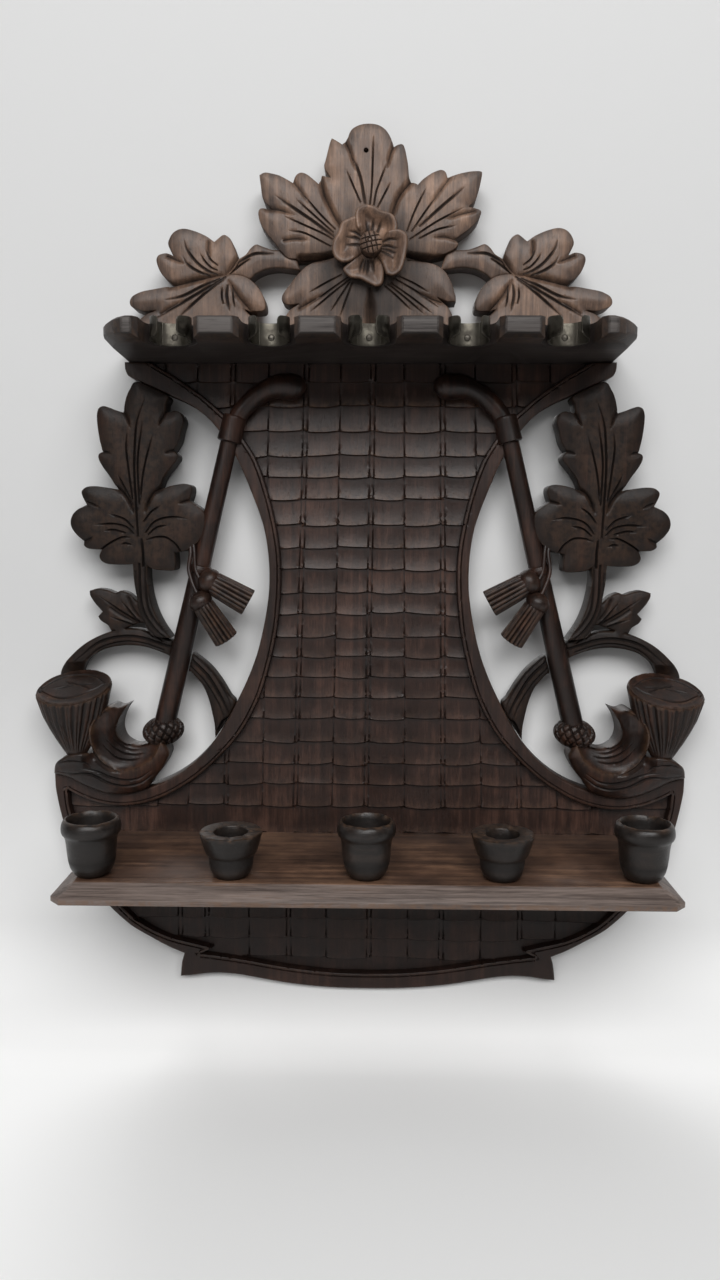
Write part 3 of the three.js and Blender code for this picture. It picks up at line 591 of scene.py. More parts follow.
# %% [markdown]
# Carving is taking depth away. Each tool stroke is a line with a width and a depth, thin at its ends: a
# V-tool leaves a narrow groove, and a shallow gouge leaves a wide valley between two lobes. The height of
# the wood is the blank's face less all the strokes, and less the rounding along the blank's own edge.


# %% Distances and strokes
CHUNK = 3_000_000
END_RUN = 0.35
NARROW = 1.3


def beside(points, line, closed=False):
    """Distance from each point to a line, and how far along the line that is, from 0 to 1."""
    a = line if closed else line[:-1]
    b = np.roll(line, -1, axis=0) if closed else line[1:]
    step = b - a
    size = np.maximum((step * step).sum(1), 1e-12)
    run = np.concatenate([[0], np.cumsum(np.sqrt(size))])
    gap = np.empty(len(points))
    at = np.empty(len(points))
    for part in np.array_split(np.arange(len(points)), 1 + len(points) * len(a) // CHUNK):
        offset = points[part][:, None] - a[None]
        t = np.clip((offset * step).sum(2) / size, 0, 1)
        away = offset - t[..., None] * step
        square = (away * away).sum(2)
        best = square.argmin(1)
        row = np.arange(len(part))
        gap[part] = np.sqrt(square[row, best])
        at[part] = (run[best] + t[row, best] * np.sqrt(size[best])) / run[-1]
    return gap, at


def gap_to(points, loop):
    """Distance from each point to a closed outline."""
    return beside(points, loop, closed=True)[0]


def near(value, width, at=0.0):
    """1 where a value is at its place, and less to both sides of it."""
    return np.exp(-((value - at) / width) ** 2)


def unit(value):
    """The value held between 0 and 1."""
    return np.clip(value, 0, 1)


def inside(points, loops):
    """True for the points within an outline and outside its holes."""
    odd = np.zeros(len(points), bool)
    for loop in loops:
        a, b = loop, np.roll(loop, -1, axis=0)
        slope = (b[:, 0] - a[:, 0]) / (b[:, 1] - a[:, 1] + 1e-12)
        for part in np.array_split(np.arange(len(points)), 1 + len(points) * len(a) // CHUNK):
            u, v = points[part, :1], points[part, 1:]
            spans = (a[:, 1] > v) != (b[:, 1] > v)
            odd[part] ^= (spans & (u < a[:, 0] + (v - a[:, 1]) * slope)).sum(1) % 2 == 1
    return odd


class Stroke:
    """One cut: its line, half width and depth, how thin its two ends are and how its walls curve."""

    def __init__(self, line, half, depth, ends=(0.0, 0.5), hollow=1.0):
        self.line = through(line, 0.7)
        self.half = half
        self.depth = depth
        self.ends = ends
        self.hollow = hollow

    def swell(self, at):
        """How wide and deep the stroke is along its line, from 0 to 1."""
        first, last = self.ends
        entry = first + (1 - first) * unit(at / END_RUN)
        leave = last + (1 - last) * unit((1 - at) / END_RUN)
        return np.minimum(entry, leave)

    def cut(self, points):
        """Depth that the stroke takes off each point."""
        taken = np.zeros(len(points))
        low, high = self.line.min(0) - self.half, self.line.max(0) + self.half
        close = np.flatnonzero(((points >= low) & (points <= high)).all(1))
        if len(close) == 0:
            return taken
        gap, at = beside(points[close], self.line)
        size = self.swell(at)
        reach = np.maximum(self.half * (0.35 + 0.65 * size), 0.05)
        taken[close] = self.depth * size * unit(1 - gap / reach) ** self.hollow
        return taken

    def soil_and_shade(self, taken):
        """How dark the cut is painted, as dirt and painted shade: all of a narrow one, and only the bottom of a
        wide one, which darkens its crease.
        """
        if self.half < NARROW:
            return unit(taken / 0.6)
        return 0.85 * (taken / self.depth) ** 3

    def guides(self):
        """Points along the stroke's bottom and its two shoulders, where the mesh needs detail."""
        step = np.gradient(self.line, axis=0)
        across = np.stack([-step[:, 1], step[:, 0]], 1)
        across /= np.maximum(np.linalg.norm(across, axis=1, keepdims=True), 1e-9)
        reach = min(self.half, 2.4)
        return [self.line, self.line + across * reach, self.line - across * reach,
                self.line + across * reach * 0.45, self.line - across * reach * 0.45]


def vein(*line, half=0.62, depth=1.15, ends=(0.0, 0.6)):
    """A V-tool cut."""
    return Stroke(line, half, depth, ends)


def valley(*line, half=3.0, depth=1.4, ends=(1.0, 0.0)):
    """A crease between two lobes, deep at the notch and running out in the leaf."""
    return Stroke(line, half * 0.8, depth, ends, hollow=2.2)


def rounding(gap, radius):
    """How far a rounded edge has dropped at a distance from the outline."""
    inward = np.clip(radius - gap, 0, radius)
    return radius - np.sqrt(np.maximum(radius ** 2 - inward ** 2, 0))


def dome(gap, reach, height):
    """A broad fall towards the outline."""
    return height * unit(1 - gap / reach) ** 2


def lilt(points, length, seed=0):
    """Slow hand-made unevenness between -1 and 1."""
    draw = np.random.default_rng(SEED + seed)
    total = np.zeros(len(points))
    for _ in range(5):
        angle, phase = draw.uniform(0, 2 * math.pi, 2)
        wave = 2 * math.pi / (length * draw.uniform(0.7, 1.5))
        total += np.sin((points[:, 0] * math.cos(angle) + points[:, 1] * math.sin(angle)) * wave + phase)
    return total / 5


# %% [markdown]
# The relief itself is one mesh: points are laid along the outline, along every stroke and over the rest of
# the face, joined into triangles, lifted to their carved height, and closed by side walls and a back.
# Sculpting operators can't be steered by numbers without a window, and a height worked out for each point
# can, so this piece is made in code.

# %% Relief builder
FRONT = np.array([[1.0, 0, 0], [0, 0, -1.0], [0, 1.0, 0]])
# Share of the side walls' painted shade that is laid on the front's rim.
RIM_SHADE_SHARE = 0.35


def circle(centre, radius, count=24, clockwise=False):
    """Points round a circle."""
    angle = np.linspace(0, 2 * math.pi, count, endpoint=False) * (-1 if clockwise else 1)
    return np.array(centre) + radius * np.stack([np.cos(angle), np.sin(angle)], 1)


def rings(loop, distances):
    """Copies of an outline moved inwards by small distances."""
    step = np.roll(loop, -1, axis=0) - np.roll(loop, 1, axis=0)
    inward = np.stack([-step[:, 1], step[:, 0]], 1)
    inward /= np.maximum(np.linalg.norm(inward, axis=1, keepdims=True), 1e-9)
    return [loop + inward * d for d in distances]


def thinned(groups, cell):
    """All points of the groups, with at most one in each small cell; earlier groups win."""
    points = np.vstack(groups)
    keys = np.round(points / cell).astype(np.int64)
    _, first = np.unique(keys, axis=0, return_index=True)
    return points[np.sort(first)]


def honeycomb(loop, spacing):
    """Evenly spread points over an outline's box."""
    low, high = loop.min(0), loop.max(0)
    u = np.arange(low[0], high[0], spacing)
    v = np.arange(low[1], high[1], spacing * 0.87)
    grid = np.stack(np.meshgrid(u, v, indexing="ij"), -1)
    grid[:, 1::2, 0] += spacing / 2
    return grid.reshape(-1, 2)


def ring_edges(start, count):
    """The edges of a closed outline whose points are numbered from start."""
    return [(start + i, start + (i + 1) % count) for i in range(count)]


def joined(points, edges, loops, nearness):
    """Delaunay triangles between the outlines, all facing up, and the source of each of their points."""
    flat, _, faces, sources = delaunay_2d_cdt([Vector(p) for p in points], edges, [], 1, nearness)[:4]
    flat = np.array([tuple(p) for p in flat])
    faces = np.array([f for f in faces])
    if len(loops) > 1:
        faces = faces[inside(flat[faces].mean(1), loops)]
    a, b, c = flat[faces[:, 0]], flat[faces[:, 1]], flat[faces[:, 2]]
    over = (b[:, 0] - a[:, 0]) * (c[:, 1] - a[:, 1]) - (b[:, 1] - a[:, 1]) * (c[:, 0] - a[:, 0]) < 0
    faces[over] = faces[over][:, ::-1]
    return flat, faces, sources


def front_triangles(points, loops):
    """Triangles over the front; the outlines' points come first."""
    edges = []
    start = 0
    for loop in loops:
        edges += ring_edges(start, len(loop))
        start += len(loop)
    return joined(points, edges, loops, 1e-5)[:2]


def rim_of(faces):
    """Directed edges that only one triangle has."""
    edges = np.vstack([faces[:, [0, 1]], faces[:, [1, 2]], faces[:, [2, 0]]])
    seen = {tuple(e) for e in edges.tolist()}
    return [e for e in seen if (e[1], e[0]) not in seen]


def relief(name, loops, back, height, guides=(), spacing=1.3, cell=0.34, edge_rings=(0.3, 0.8, 1.6, 3.0),
           taper=None, turn=FRONT, pits=(), wall_shade=0.85):
    """A closed carved plate: height(points) gives each point's height, its dirt and painted shade, and its wear
    and painted sheen.
    """
    extra = [ring for loop in loops for ring in rings(loop, edge_rings)]
    inner = thinned([*guides, *extra, honeycomb(loops[0], spacing)], cell)
    inner = inner[inside(inner, loops)]
    inner = inner[np.min([gap_to(inner, loop) for loop in loops], axis=0) > 0.16]
    flat, faces = front_triangles(np.vstack([*loops, inner]), loops)
    lift, dirt, wear = height(flat)
    edge = rim_of(faces)
    used = sorted({i for pair in edge for i in pair})
    place = {old: len(flat) + new for new, old in enumerate(used)}
    order = {old: new for new, old in enumerate(used)}
    rear_edges = [(order[a], order[b]) for a, b in edge]
    hollows = [circle(centre, radius, clockwise=True) for centre, radius, _ in pits]
    rear_flat, back_faces = back_triangles(flat[used], rear_edges, loops, hollows)
    if taper is not None:
        centre, factor = np.array(taper[:2]), taper[2]
        rear_flat = centre + (rear_flat - centre) * factor
    rear_points = np.column_stack([rear_flat, np.full(len(rear_flat), back)])
    walls = [(a, place[a], place[b], b) for a, b in edge]
    rear = [tuple(len(flat) + i for i in face[::-1]) for face in back_faces]
    floors, pit_faces = pit_skins(hollows, [back + depth for _, _, depth in pits], len(flat) + len(used))
    points = np.vstack([np.column_stack([flat, lift]), rear_points, *floors])
    piece = new_piece(name, points @ turn.T, [*faces.tolist(), *walls, *rear, *pit_faces])
    # Painted shade: the side walls are painted dark, and the front's rim points get a share of it.
    dirt[used] = np.maximum(dirt[used], wall_shade * RIM_SHADE_SHARE)
    clean = np.zeros(len(points) - len(flat))
    soiled_and_shaded = clean.copy()
    soiled_and_shaded[:len(used)] = wall_shade
    mark(piece, "dirt", np.concatenate([unit(dirt), soiled_and_shaded]))
    mark(piece, "wear", np.concatenate([unit(wear), clean]))
    smooth(piece)
    return piece


def back_triangles(points, edges, loops, hollows):
    """Plain triangles over the back, on the same rim points as the front, with round openings left in it."""
    for hollow in hollows:
        edges = edges + ring_edges(len(points), len(hollow))
        points = np.vstack([points, hollow])
    _, faces, sources = joined(points, edges, [*loops, *hollows], 1e-6)
    origin = np.array([source[0] for source in sources])
    return points, origin[faces].tolist()


def pit_skins(hollows, levels, start):
    """Floor points of the round pits in a back, and the faces of their walls and floors."""
    total = sum(len(hollow) for hollow in hollows)
    floors, faces = [], []
    for hollow, level in zip(hollows, levels):
        count = len(hollow)
        floors.append(np.column_stack([hollow, np.full(count, level)]))
        faces += [(start + i, start + (i + 1) % count, start + total + (i + 1) % count, start + total + i)
                  for i in range(count)]
        faces.append(tuple(start + total + i for i in range(count)))
        start += count
    return floors, faces


def all_guides(strokes):
    """The guide points of every stroke."""
    return [line for stroke in strokes for line in stroke.guides()]


def carved(points, strokes):
    """Total depth of all strokes, and how dark each point is painted for lying in a cut, as dirt and painted
    shade.
    """
    depth = np.zeros(len(points))
    dirt = np.zeros(len(points))
    for stroke in strokes:
        taken = stroke.cut(points)
        depth = np.maximum(depth, taken)
        dirt = np.maximum(dirt, stroke.soil_and_shade(taken))
    return depth, dirt


LEAF_DOME = 8.0


def leaf_height(loop, face, strokes, fall=0.9, edge=0.55, seed=0, rubbed=0.2, painted_shadow=None):
    """Height of a leaf: its face, less its strokes, its fall to the edge and the rounding of the edge."""

    def height(points):
        gap = gap_to(points, loop)
        depth, dirt = carved(points, strokes)
        lift = face - depth - dome(gap, LEAF_DOME, fall) - rounding(gap, edge)
        lift = lift + 0.12 * lilt(points, 12.0, seed)
        # The lobes' middles get wear and a painted highlight; a band along the edge is painted darker as shade.
        wear = near(gap, 0.7) * 0.3 + near(dirt, 0.1, 0.12) * 0.12
        middle = unit((gap - 1.5) / 5.0) * (1 - dirt)
        dirt = np.maximum(dirt, 0.34 * near(gap, 2.6))
        # A painted shadow darkens the leaf round a point.
        if painted_shadow is not None:
            far = np.hypot(points[:, 0] - painted_shadow["at"][0], points[:, 1] - painted_shadow["at"][1])
            dirt = np.maximum(dirt, painted_shadow["most"] * unit((painted_shadow["reach"] - far) / painted_shadow["fade"]))
        return lift, dirt, wear + rubbed * middle * (1 - dirt)

    return height


# %% [markdown]
# The big leaf of each side branch has a lobe at the top, two at its shoulders and four below. A line runs
# into it from each notch, and veins fan out from its foot.

# %% Side leaves
LEAF_VEINS = [
    vein((116.9, 99.7), (120.7, 91.0), (122.7, 82.9), (124.0, 64.2), (123.5, 42.9), (122.9, 27.0),
         half=0.7, depth=1.3),
    vein((119.0, 88.0), (120.6, 78.2), (122.2, 64.2), (121.7, 44.0)),
    vein((113.8, 80.2), (116.9, 70.0), (119.6, 58.3), (121.2, 46.0)),
    vein((127.3, 82.3), (128.1, 73.6), (127.2, 63.0), (125.3, 46.1)),
    vein((133.3, 60.1), (130.8, 54.8), (126.3, 46.3)),
    vein((138.6, 38.5), (130.3, 35.8), (125.4, 31.2)),
    vein((146.7, 32.6), (136.4, 33.2), (129.3, 31.7), (125.2, 28.1)),
    vein((141.4, 29.4), (136.0, 30.0), (129.6, 28.4)),
    vein((95.7, 35.7), (102.8, 36.9), (110.0, 36.0), (114.9, 33.4), (118.6, 28.8)),
    vein((106.3, 32.6), (112.5, 31.4), (117.4, 27.6)),
    vein((110.5, 42.8), (115.5, 39.5), (119.3, 34.8)),
    vein((100.7, 19.0), (103.2, 22.8), (107.9, 26.0), (113.3, 26.2), (118.1, 24.8),
         depth=1.4, ends=(1.0, 0.3)),
    vein((142.6, 19.8), (139.8, 21.8), (135.5, 24.3), (131.2, 26.1), (127.1, 26.0),
         depth=1.4, ends=(1.0, 0.3)),
    vein((126.6, 22.1), (129.6, 22.9), (132.2, 22.1), ends=(0.4, 0.0)),
    vein((120.6, 10.8), (120.4, 18.0), (121.0, 25.0), half=0.8, depth=1.6, ends=(1.0, 0.5)),
]
LEAF_VALLEYS = [
    valley((129.6, 92.6), (127.2, 88.4), (125.6, 82.6), half=1.7, depth=1.2),
    valley((107.0, 92.0), (109.2, 88.0), (111.0, 83.5), half=1.7, depth=1.2),
    valley((134.0, 52.4), (130.4, 49.5), (127.0, 44.7), (125.0, 38.0), half=2.6, depth=1.9),
    valley((110.6, 52.0), (114.4, 49.4), (117.2, 44.7), (119.3, 38.2), half=2.6, depth=1.9),
    valley((141.1, 71), (138.6, 70.8), (136.4, 69.8), half=1.6, depth=1.1),
    valley((103.4, 71.6), (105.6, 71.2), (108.0, 70.0), half=1.6, depth=1.1),
    valley((149.6, 44.6), (146.4, 43.4), (143.2, 41.8), half=1.7, depth=1.2),
    valley((95.2, 45.8), (98.2, 45.0), (101.6, 43.8), half=1.7, depth=1.2),
    valley((152.6, 23.9), (149.4, 25), (146.6, 26.6), half=1.6, depth=1.0),
]
STEM_FLUTES = [
    vein((122.7, 12), (121.9, -9.5), (116.1, -21.7), (106.0, -31.5), half=0.8, ends=(1.0, 0.6)),
    vein((119.6, 12), (118.9, -9.0), (113.6, -20.4), (104.5, -29.5), half=0.7, depth=0.7, ends=(1.0, 0.6)),
    vein((125.2, 8), (124.3, -9.5), (118.9, -22.9), (110.0, -32.0), half=0.7, depth=0.7, ends=(1.0, 0.3)),
]
LEAF_STROKES = LEAF_VEINS + LEAF_VALLEYS + STEM_FLUTES
LEAF_FACE = 18.5
BRANCH_BACK = 4.0


def side_leaf():
    """The right-hand branch's big leaf."""
    loop = rounded_outline(branch_leaf[0], 0.7)
    height = leaf_height(loop, LEAF_FACE, LEAF_STROKES, fall=1.5, edge=0.45, seed=1)
    return relief("right_leaf", [loop], BRANCH_BACK, height, all_guides(LEAF_STROKES))


both_sides(side_leaf(), "leaf", leaf_walnut, ["branch"])

# %% [markdown]
# Below the big leaf the branch forks. A small three-lobed leaf stands beside the stem, and an arched twig
# runs behind the pipe to the board's border. The stem and the twig carry long flutes, cut with a V-tool.

# %% Small leaf and twig
SMALL_FACE = 13.0
SMALL_STROKES = [
    vein((147.3, -5.4), (135.3, -13.3), (123.4, -21.1), (112.6, -30.2), depth=1.3),
    vein((135.2, -7.2), (125.7, -18.7), (117.4, -27.8)),
    vein((141.5, -16.9), (130.7, -20.5), (118.6, -26.6)),
    valley((140.5, -12.2), (134, -16.5), (127, -20.6), half=2.4, depth=1.0),
    valley((130.4, -6.5), (127.5, -13), (122, -20), half=2.4, depth=1.0),
]
FLUTES = STEM_FLUTES + [
    vein((160.6, -41.5), (148, -31.6), (135.7, -27.9), (123.5, -28.4), (108, -33.4),
         half=0.9, ends=(0.3, 1.0)),
    vein((158.2, -44.2), (147, -34.6), (135.2, -30.9), (124.5, -31.2), (112, -35.2), half=0.7, depth=0.7,
         ends=(0.3, 1.0)),
    vein((96.9, -39.9), (87.3, -49.7), (80.1, -62), (76.3, -70.7), half=0.9, ends=(1.0, 0.4)),
    vein((98.6, -42.9), (89.9, -52.0), (83.0, -63), (78.9, -72.5), half=0.7, depth=0.8, ends=(1.0, 0.3)),
    vein((95.0, -38.0), (84.9, -47.7), (78.0, -59), (74.9, -66.7), half=0.6, depth=0.6, ends=(1.0, 0.3)),
    vein((75.8, -72.6), (79.5, -74.3), (82.6, -80.0), half=1.2, depth=2.2, ends=(0.5, 0.8)),
    Stroke([(150.0, -55.0), (174.0, -55.0)], 13.0, 8.5, (1.0, 1.0), 0.8),
]


def small_relief(name, loop, strokes, seed):
    """One of the branch's lower forms."""
    outline = rounded_outline(loop, 0.7)
    height = leaf_height(outline, SMALL_FACE, strokes, fall=1.2, edge=0.9, seed=seed)
    return relief(name, [outline], BRANCH_BACK, height, all_guides(strokes), spacing=1.2)


fork_loops = flat_loops("right_branch", -SMALL_FACE)
for label, loop in zip(("fork", "twig"), fork_loops):
    both_sides(small_relief(label, loop, SMALL_STROKES + FLUTES, seed=2), label, leaf_walnut)

# %% [markdown]
# The crest is sawn from one board and carved in place: a seven-lobed leaf in the middle, two leaves at its
# sides and a short branch to each. All three leaves open from a centre, so their veins run out like rays.

# %% Crest leaves
CREST_FACE = 18.0
CREST_BACK = 4.0
BIG_VEINS = [
    vein((1.4, 230), (0.8, 206.4), (-0.2, 195.3), depth=1.3),
    vein((-9.9, 220), (-5.3, 208.9), (-2.7, 195.8), half=0.95, depth=1.3),
    vein((-12.4, 212.3), (-8.6, 204), (-5.3, 196.8)),
    vein((8.3, 215.6), (3.3, 202.6), (1.8, 195.3)),
    vein((10.4, 206.4), (3.9, 194.3)),
    vein((-49.5, 200.3), (-30.7, 188.1), (-19, 179.8), half=0.95, depth=1.3),
    vein((-38.3, 198.3), (-28, 189.4), (-19, 181.7)),
    vein((-35.3, 201.7), (-27, 192), (-18, 183.2)),
    vein((-45, 190.1), (-25.6, 181.7), (-19.5, 178.3)),
    vein((-42.5, 182.7), (-33.3, 181.2), (-20.5, 174.9)),
    vein((48.8, 204.4), (36.5, 194.4), (25.3, 184.6), half=0.95, depth=1.3),
    vein((35.2, 201.5), (27.6, 191.2), (21.2, 182.1)),
    vein((28.6, 204), (22.9, 192.6), (18.7, 182.1)),
    vein((48.5, 194.2), (34, 186.9), (20.3, 178.2)),
    vein((44.1, 185), (34.4, 183), (25.3, 178.7)),
    vein((-31.8, 151.7), (-23, 156.6), (-14.9, 160.6)),
    vein((-31.9, 145.2), (-21, 152.9), (-11.8, 159.1)),
    vein((-31.4, 141.7), (-20.6, 150.6), (-10.8, 158.1)),
    vein((-20.5, 142.2), (-15.7, 149.4), (-10.8, 156.6)),
    vein((-15.9, 138.7), (-12.6, 147.8), (-9.2, 156.6)),
    vein((30.8, 151.6), (22.6, 156.4), (14.3, 160.1)),
    vein((36, 144.2), (24.4, 152.1), (12.8, 158.6)),
    vein((32.4, 141.2), (21.4, 149.4), (10.7, 156.6)),
    vein((28.3, 140.7), (18.6, 148.9), (9.2, 156.1)),
    vein((22.1, 142.2), (14.7, 149.2), (7.7, 155.1)),
]
BIG_VALLEYS = [
    valley((-25.6, 208.3), (-23.2, 199.3), (-16.6, 186.7), (-10, 178), half=3.6, depth=2.6),
    valley((21.9, 208.6), (14.5, 199.2), (11.7, 192), (8, 182), half=3.6, depth=2.6),
    valley((-12.9, 226.5), (-10.1, 219.9), (-7.5, 211), half=2.4, depth=1.6),
    valley((12.9, 226.5), (10.1, 219.9), (8.5, 212), half=2.4, depth=1.6),
    valley((0.2, 127), (0.2, 140), (0.2, 154.4), half=5.4, depth=4.6, ends=(1.0, 0.2)),
    valley((-36, 169.2), (-26, 169.5), (-14, 171.5), half=3.4, depth=6.5, ends=(1.0, 0.3)),
    valley((36, 169.2), (26, 169.5), (14, 171.5), half=3.4, depth=6.5, ends=(1.0, 0.3)),
    valley((-40.2, 208), (-35, 201), (-29, 193), half=2.6, depth=1.0),
    valley((40.2, 208.4), (35, 201), (29, 193), half=2.6, depth=1.0),
    valley((-53.5, 193.6), (-47, 193), (-38, 190), half=2.8, depth=1.3),
    valley((53.5, 192.4), (46, 190.5), (38, 187.5), half=2.8, depth=1.3),
    valley((-44.5, 178), (-38, 178.6), (-31, 177.8), half=2.4, depth=1.2),
    valley((44.5, 178), (38, 179.4), (31, 178.8), half=2.4, depth=1.2),
    valley((-36.8, 144.2), (-29, 148.2), (-21, 152), half=2.6, depth=1.3),
    valley((36.8, 147.2), (30, 149.4), (22, 153), half=2.6, depth=1.3),
]
SIDE_VEINS = [
    vein((96, 179.1), (94.2, 173.2), (89, 166.7), (83.4, 162.6), (78.6, 161), half=0.9),
    vein((96.9, 170.4), (93.8, 165.8), (88.1, 162.2), (82.9, 160.5), half=0.9),
    vein((87.8, 171.8), (85.2, 167.7), (81.9, 164.4), (78.8, 163.1)),
    vein((84.9, 174.1), (82.3, 168.6), (78.7, 165.6)),
    vein((107.1, 148.1), (97, 150.2), (87.3, 154.8), (77.7, 158.9), half=0.95, depth=1.2),
    vein((113.6, 137.9), (101.9, 144.2), (91.2, 150.2), (81.5, 155.7), (74.8, 159.8), half=0.95, depth=1.2),
    vein((99.6, 139.1), (91.3, 146.5), (83.5, 152.9), (75.8, 158.5), half=0.9),
    vein((76.3, 155), (76.6, 150.2), (75.9, 146.5)),
    vein((72.6, 141.8), (74, 150.2), (73.4, 155.7), half=0.95, depth=1.2),
    vein((69.7, 143.7), (70.6, 148.3), (71, 155.7)),
]
SIDE_VALLEYS = [
    valley((103.6, 155.7), (96.9, 156.6), (87.2, 158.9), (76, 160.8), half=4.0, depth=2.4, ends=(1.0, 0.5)),
    valley((67.6, 170), (71.9, 164), (74.5, 161), half=3.2, depth=2.0, ends=(1.0, 0.5)),
    valley((62.4, 143.6), (68.2, 150.2), (73, 158), half=3.6, depth=2.0, ends=(1.0, 0.4)),
    valley((104.8, 170.4), (100.4, 168.6), (95, 166), half=2.6, depth=1.3),
    valley((83.2, 177.4), (83.4, 173), (82.4, 168.8), half=2.6, depth=1.3),
    valley((108.6, 141.4), (103, 144.8), (96, 148.4), half=2.4, depth=1.0),
]
CREST_LOOPS = flat_loops("crest", -CREST_FACE)
HANGING_HOLE = {"at": (-2.3, 221.6), "radius": 1.25}
# The flower's painted shadow on the big leaf round it.
FLOWER_SHADOW = {"at": (1.0, 164.0), "reach": 36.0, "fade": 13.0, "most": 0.82}


def crest_leaf(name, loop, strokes, seed, holes=(), painted_shadow=None):
    """One leaf of the crest; it may have round holes, and a painted shadow round a point."""
    outline = rounded_outline(loop, 0.7)
    rims = [circle(hole["at"], hole["radius"], clockwise=True) for hole in holes]
    height = leaf_height(outline, CREST_FACE, strokes, 1.3, 0.5, seed, 0.7, painted_shadow)
    return relief(name, [outline, *rims], CREST_BACK, height, all_guides(strokes))


big_leaf = crest_leaf("crest_leaf", CREST_LOOPS[0], BIG_VEINS + BIG_VALLEYS, 3, [HANGING_HOLE], FLOWER_SHADOW)
finish(big_leaf, carved_walnut, nodes=["crest"])
right_blank = max(CREST_LOOPS[1:3], key=lambda loop: loop[:, 0].mean())
side_crest_leaf = crest_leaf("crest_right_leaf", right_blank, SIDE_VEINS + SIDE_VALLEYS, 4)
both_sides(side_crest_leaf, "leaf", carved_walnut, lead="crest_")

# %% [markdown]
# The short branches are ridged: one groove follows the upper side of each, with a kink where a twig was cut
# off. Under the leaves lies the rail, a plain planed strip that the crest is screwed down by.

# %% Crest branches and rail
BRANCH_FACE = 16.0
BRANCH_STROKES = [
    vein((71.2, 165.4), (66, 168.8), (59.6, 171.8), (50.1, 172), half=0.95, depth=1.3, ends=(0.2, 0.2)),
    vein((73, 161.5), (68, 165.6), (62.5, 169.1), half=0.7),
]
RAIL_LOW = (-116.0, -14.0, 127.8)
RAIL_HIGH = (116.0, -1.0, 134.0)
CREST_SCREW_X = (-52.0, 52.0)
CREST_SCREW_Y = -6.0
SCREW_SINK = {"radius": 3.9, "depth": 3.0}


def block(name, low, high):
    """A plain block between two corners, from a cube primitive."""
    bpy.ops.object.select_all(action="DESELECT")
    middle = [(a + b) / 2 * MM for a, b in zip(low, high)]
    size = [(b - a) * MM for a, b in zip(low, high)]
    bpy.ops.mesh.primitive_cube_add(size=1.0, location=middle)
    return settled(name, size)


def drum(name, at, radius, depth):
    """An upright cylinder about a point, from a cylinder primitive."""
    bpy.ops.object.select_all(action="DESELECT")
    place = [v * MM for v in at]
    bpy.ops.mesh.primitive_cylinder_add(vertices=32, radius=radius * MM, depth=depth * MM, location=place)
    return settled(name)


def soften(piece, width, segments=2, angle=30.0):
    """Rounds a piece's sharp edges a little."""
    modifier = piece.modifiers.new("soften", "BEVEL")
    modifier.width = width * MM
    modifier.segments = segments
    modifier.limit_method = "ANGLE"
    modifier.angle_limit = math.radians(angle)
    apply_modifiers(piece)


def drill(piece, tools):
    """Cuts tools out of a piece and throws the tools away."""
    for tool in tools:
        modifier = piece.modifiers.new("drill", "BOOLEAN")
        modifier.operation = "DIFFERENCE"
        modifier.solver = "EXACT"
        modifier.object = tool
        apply_modifiers(piece)
        bpy.data.objects.remove(tool)


branch_blank = max(flat_loops("crest", -BRANCH_FACE), key=lambda loop: loop[:, 0].mean())
branch_outline = rounded_outline(branch_blank, 0.7)
branch_height = leaf_height(branch_outline, BRANCH_FACE, BRANCH_STROKES, fall=1.0, edge=0.8, seed=5)
spray = relief("spray", [branch_outline], CREST_BACK, branch_height, all_guides(BRANCH_STROKES))
both_sides(spray, "branch", carved_walnut, lead="crest_")
rail = block("crest_rail", RAIL_LOW, RAIL_HIGH)
spots = [(x, CREST_SCREW_Y, RAIL_HIGH[2]) for x in CREST_SCREW_X]
drill(rail, [drum(f"sink_{at[0]:.0f}", at, SCREW_SINK["radius"], SCREW_SINK["depth"]) for at in spots])
soften(rail, 0.5)
smooth(rail, 30.0)
finish(rail, carved_walnut)

# %% [markdown]
# The flower in the middle was carved as a piece of its own and glued on. Its four petals are cupped: each
# stands high along its rim and sinks towards the button, where a few gouge cuts mark its foot. A petal's
# back is smaller than its front, which leaves the shadow under the rim that shows in the photograph.

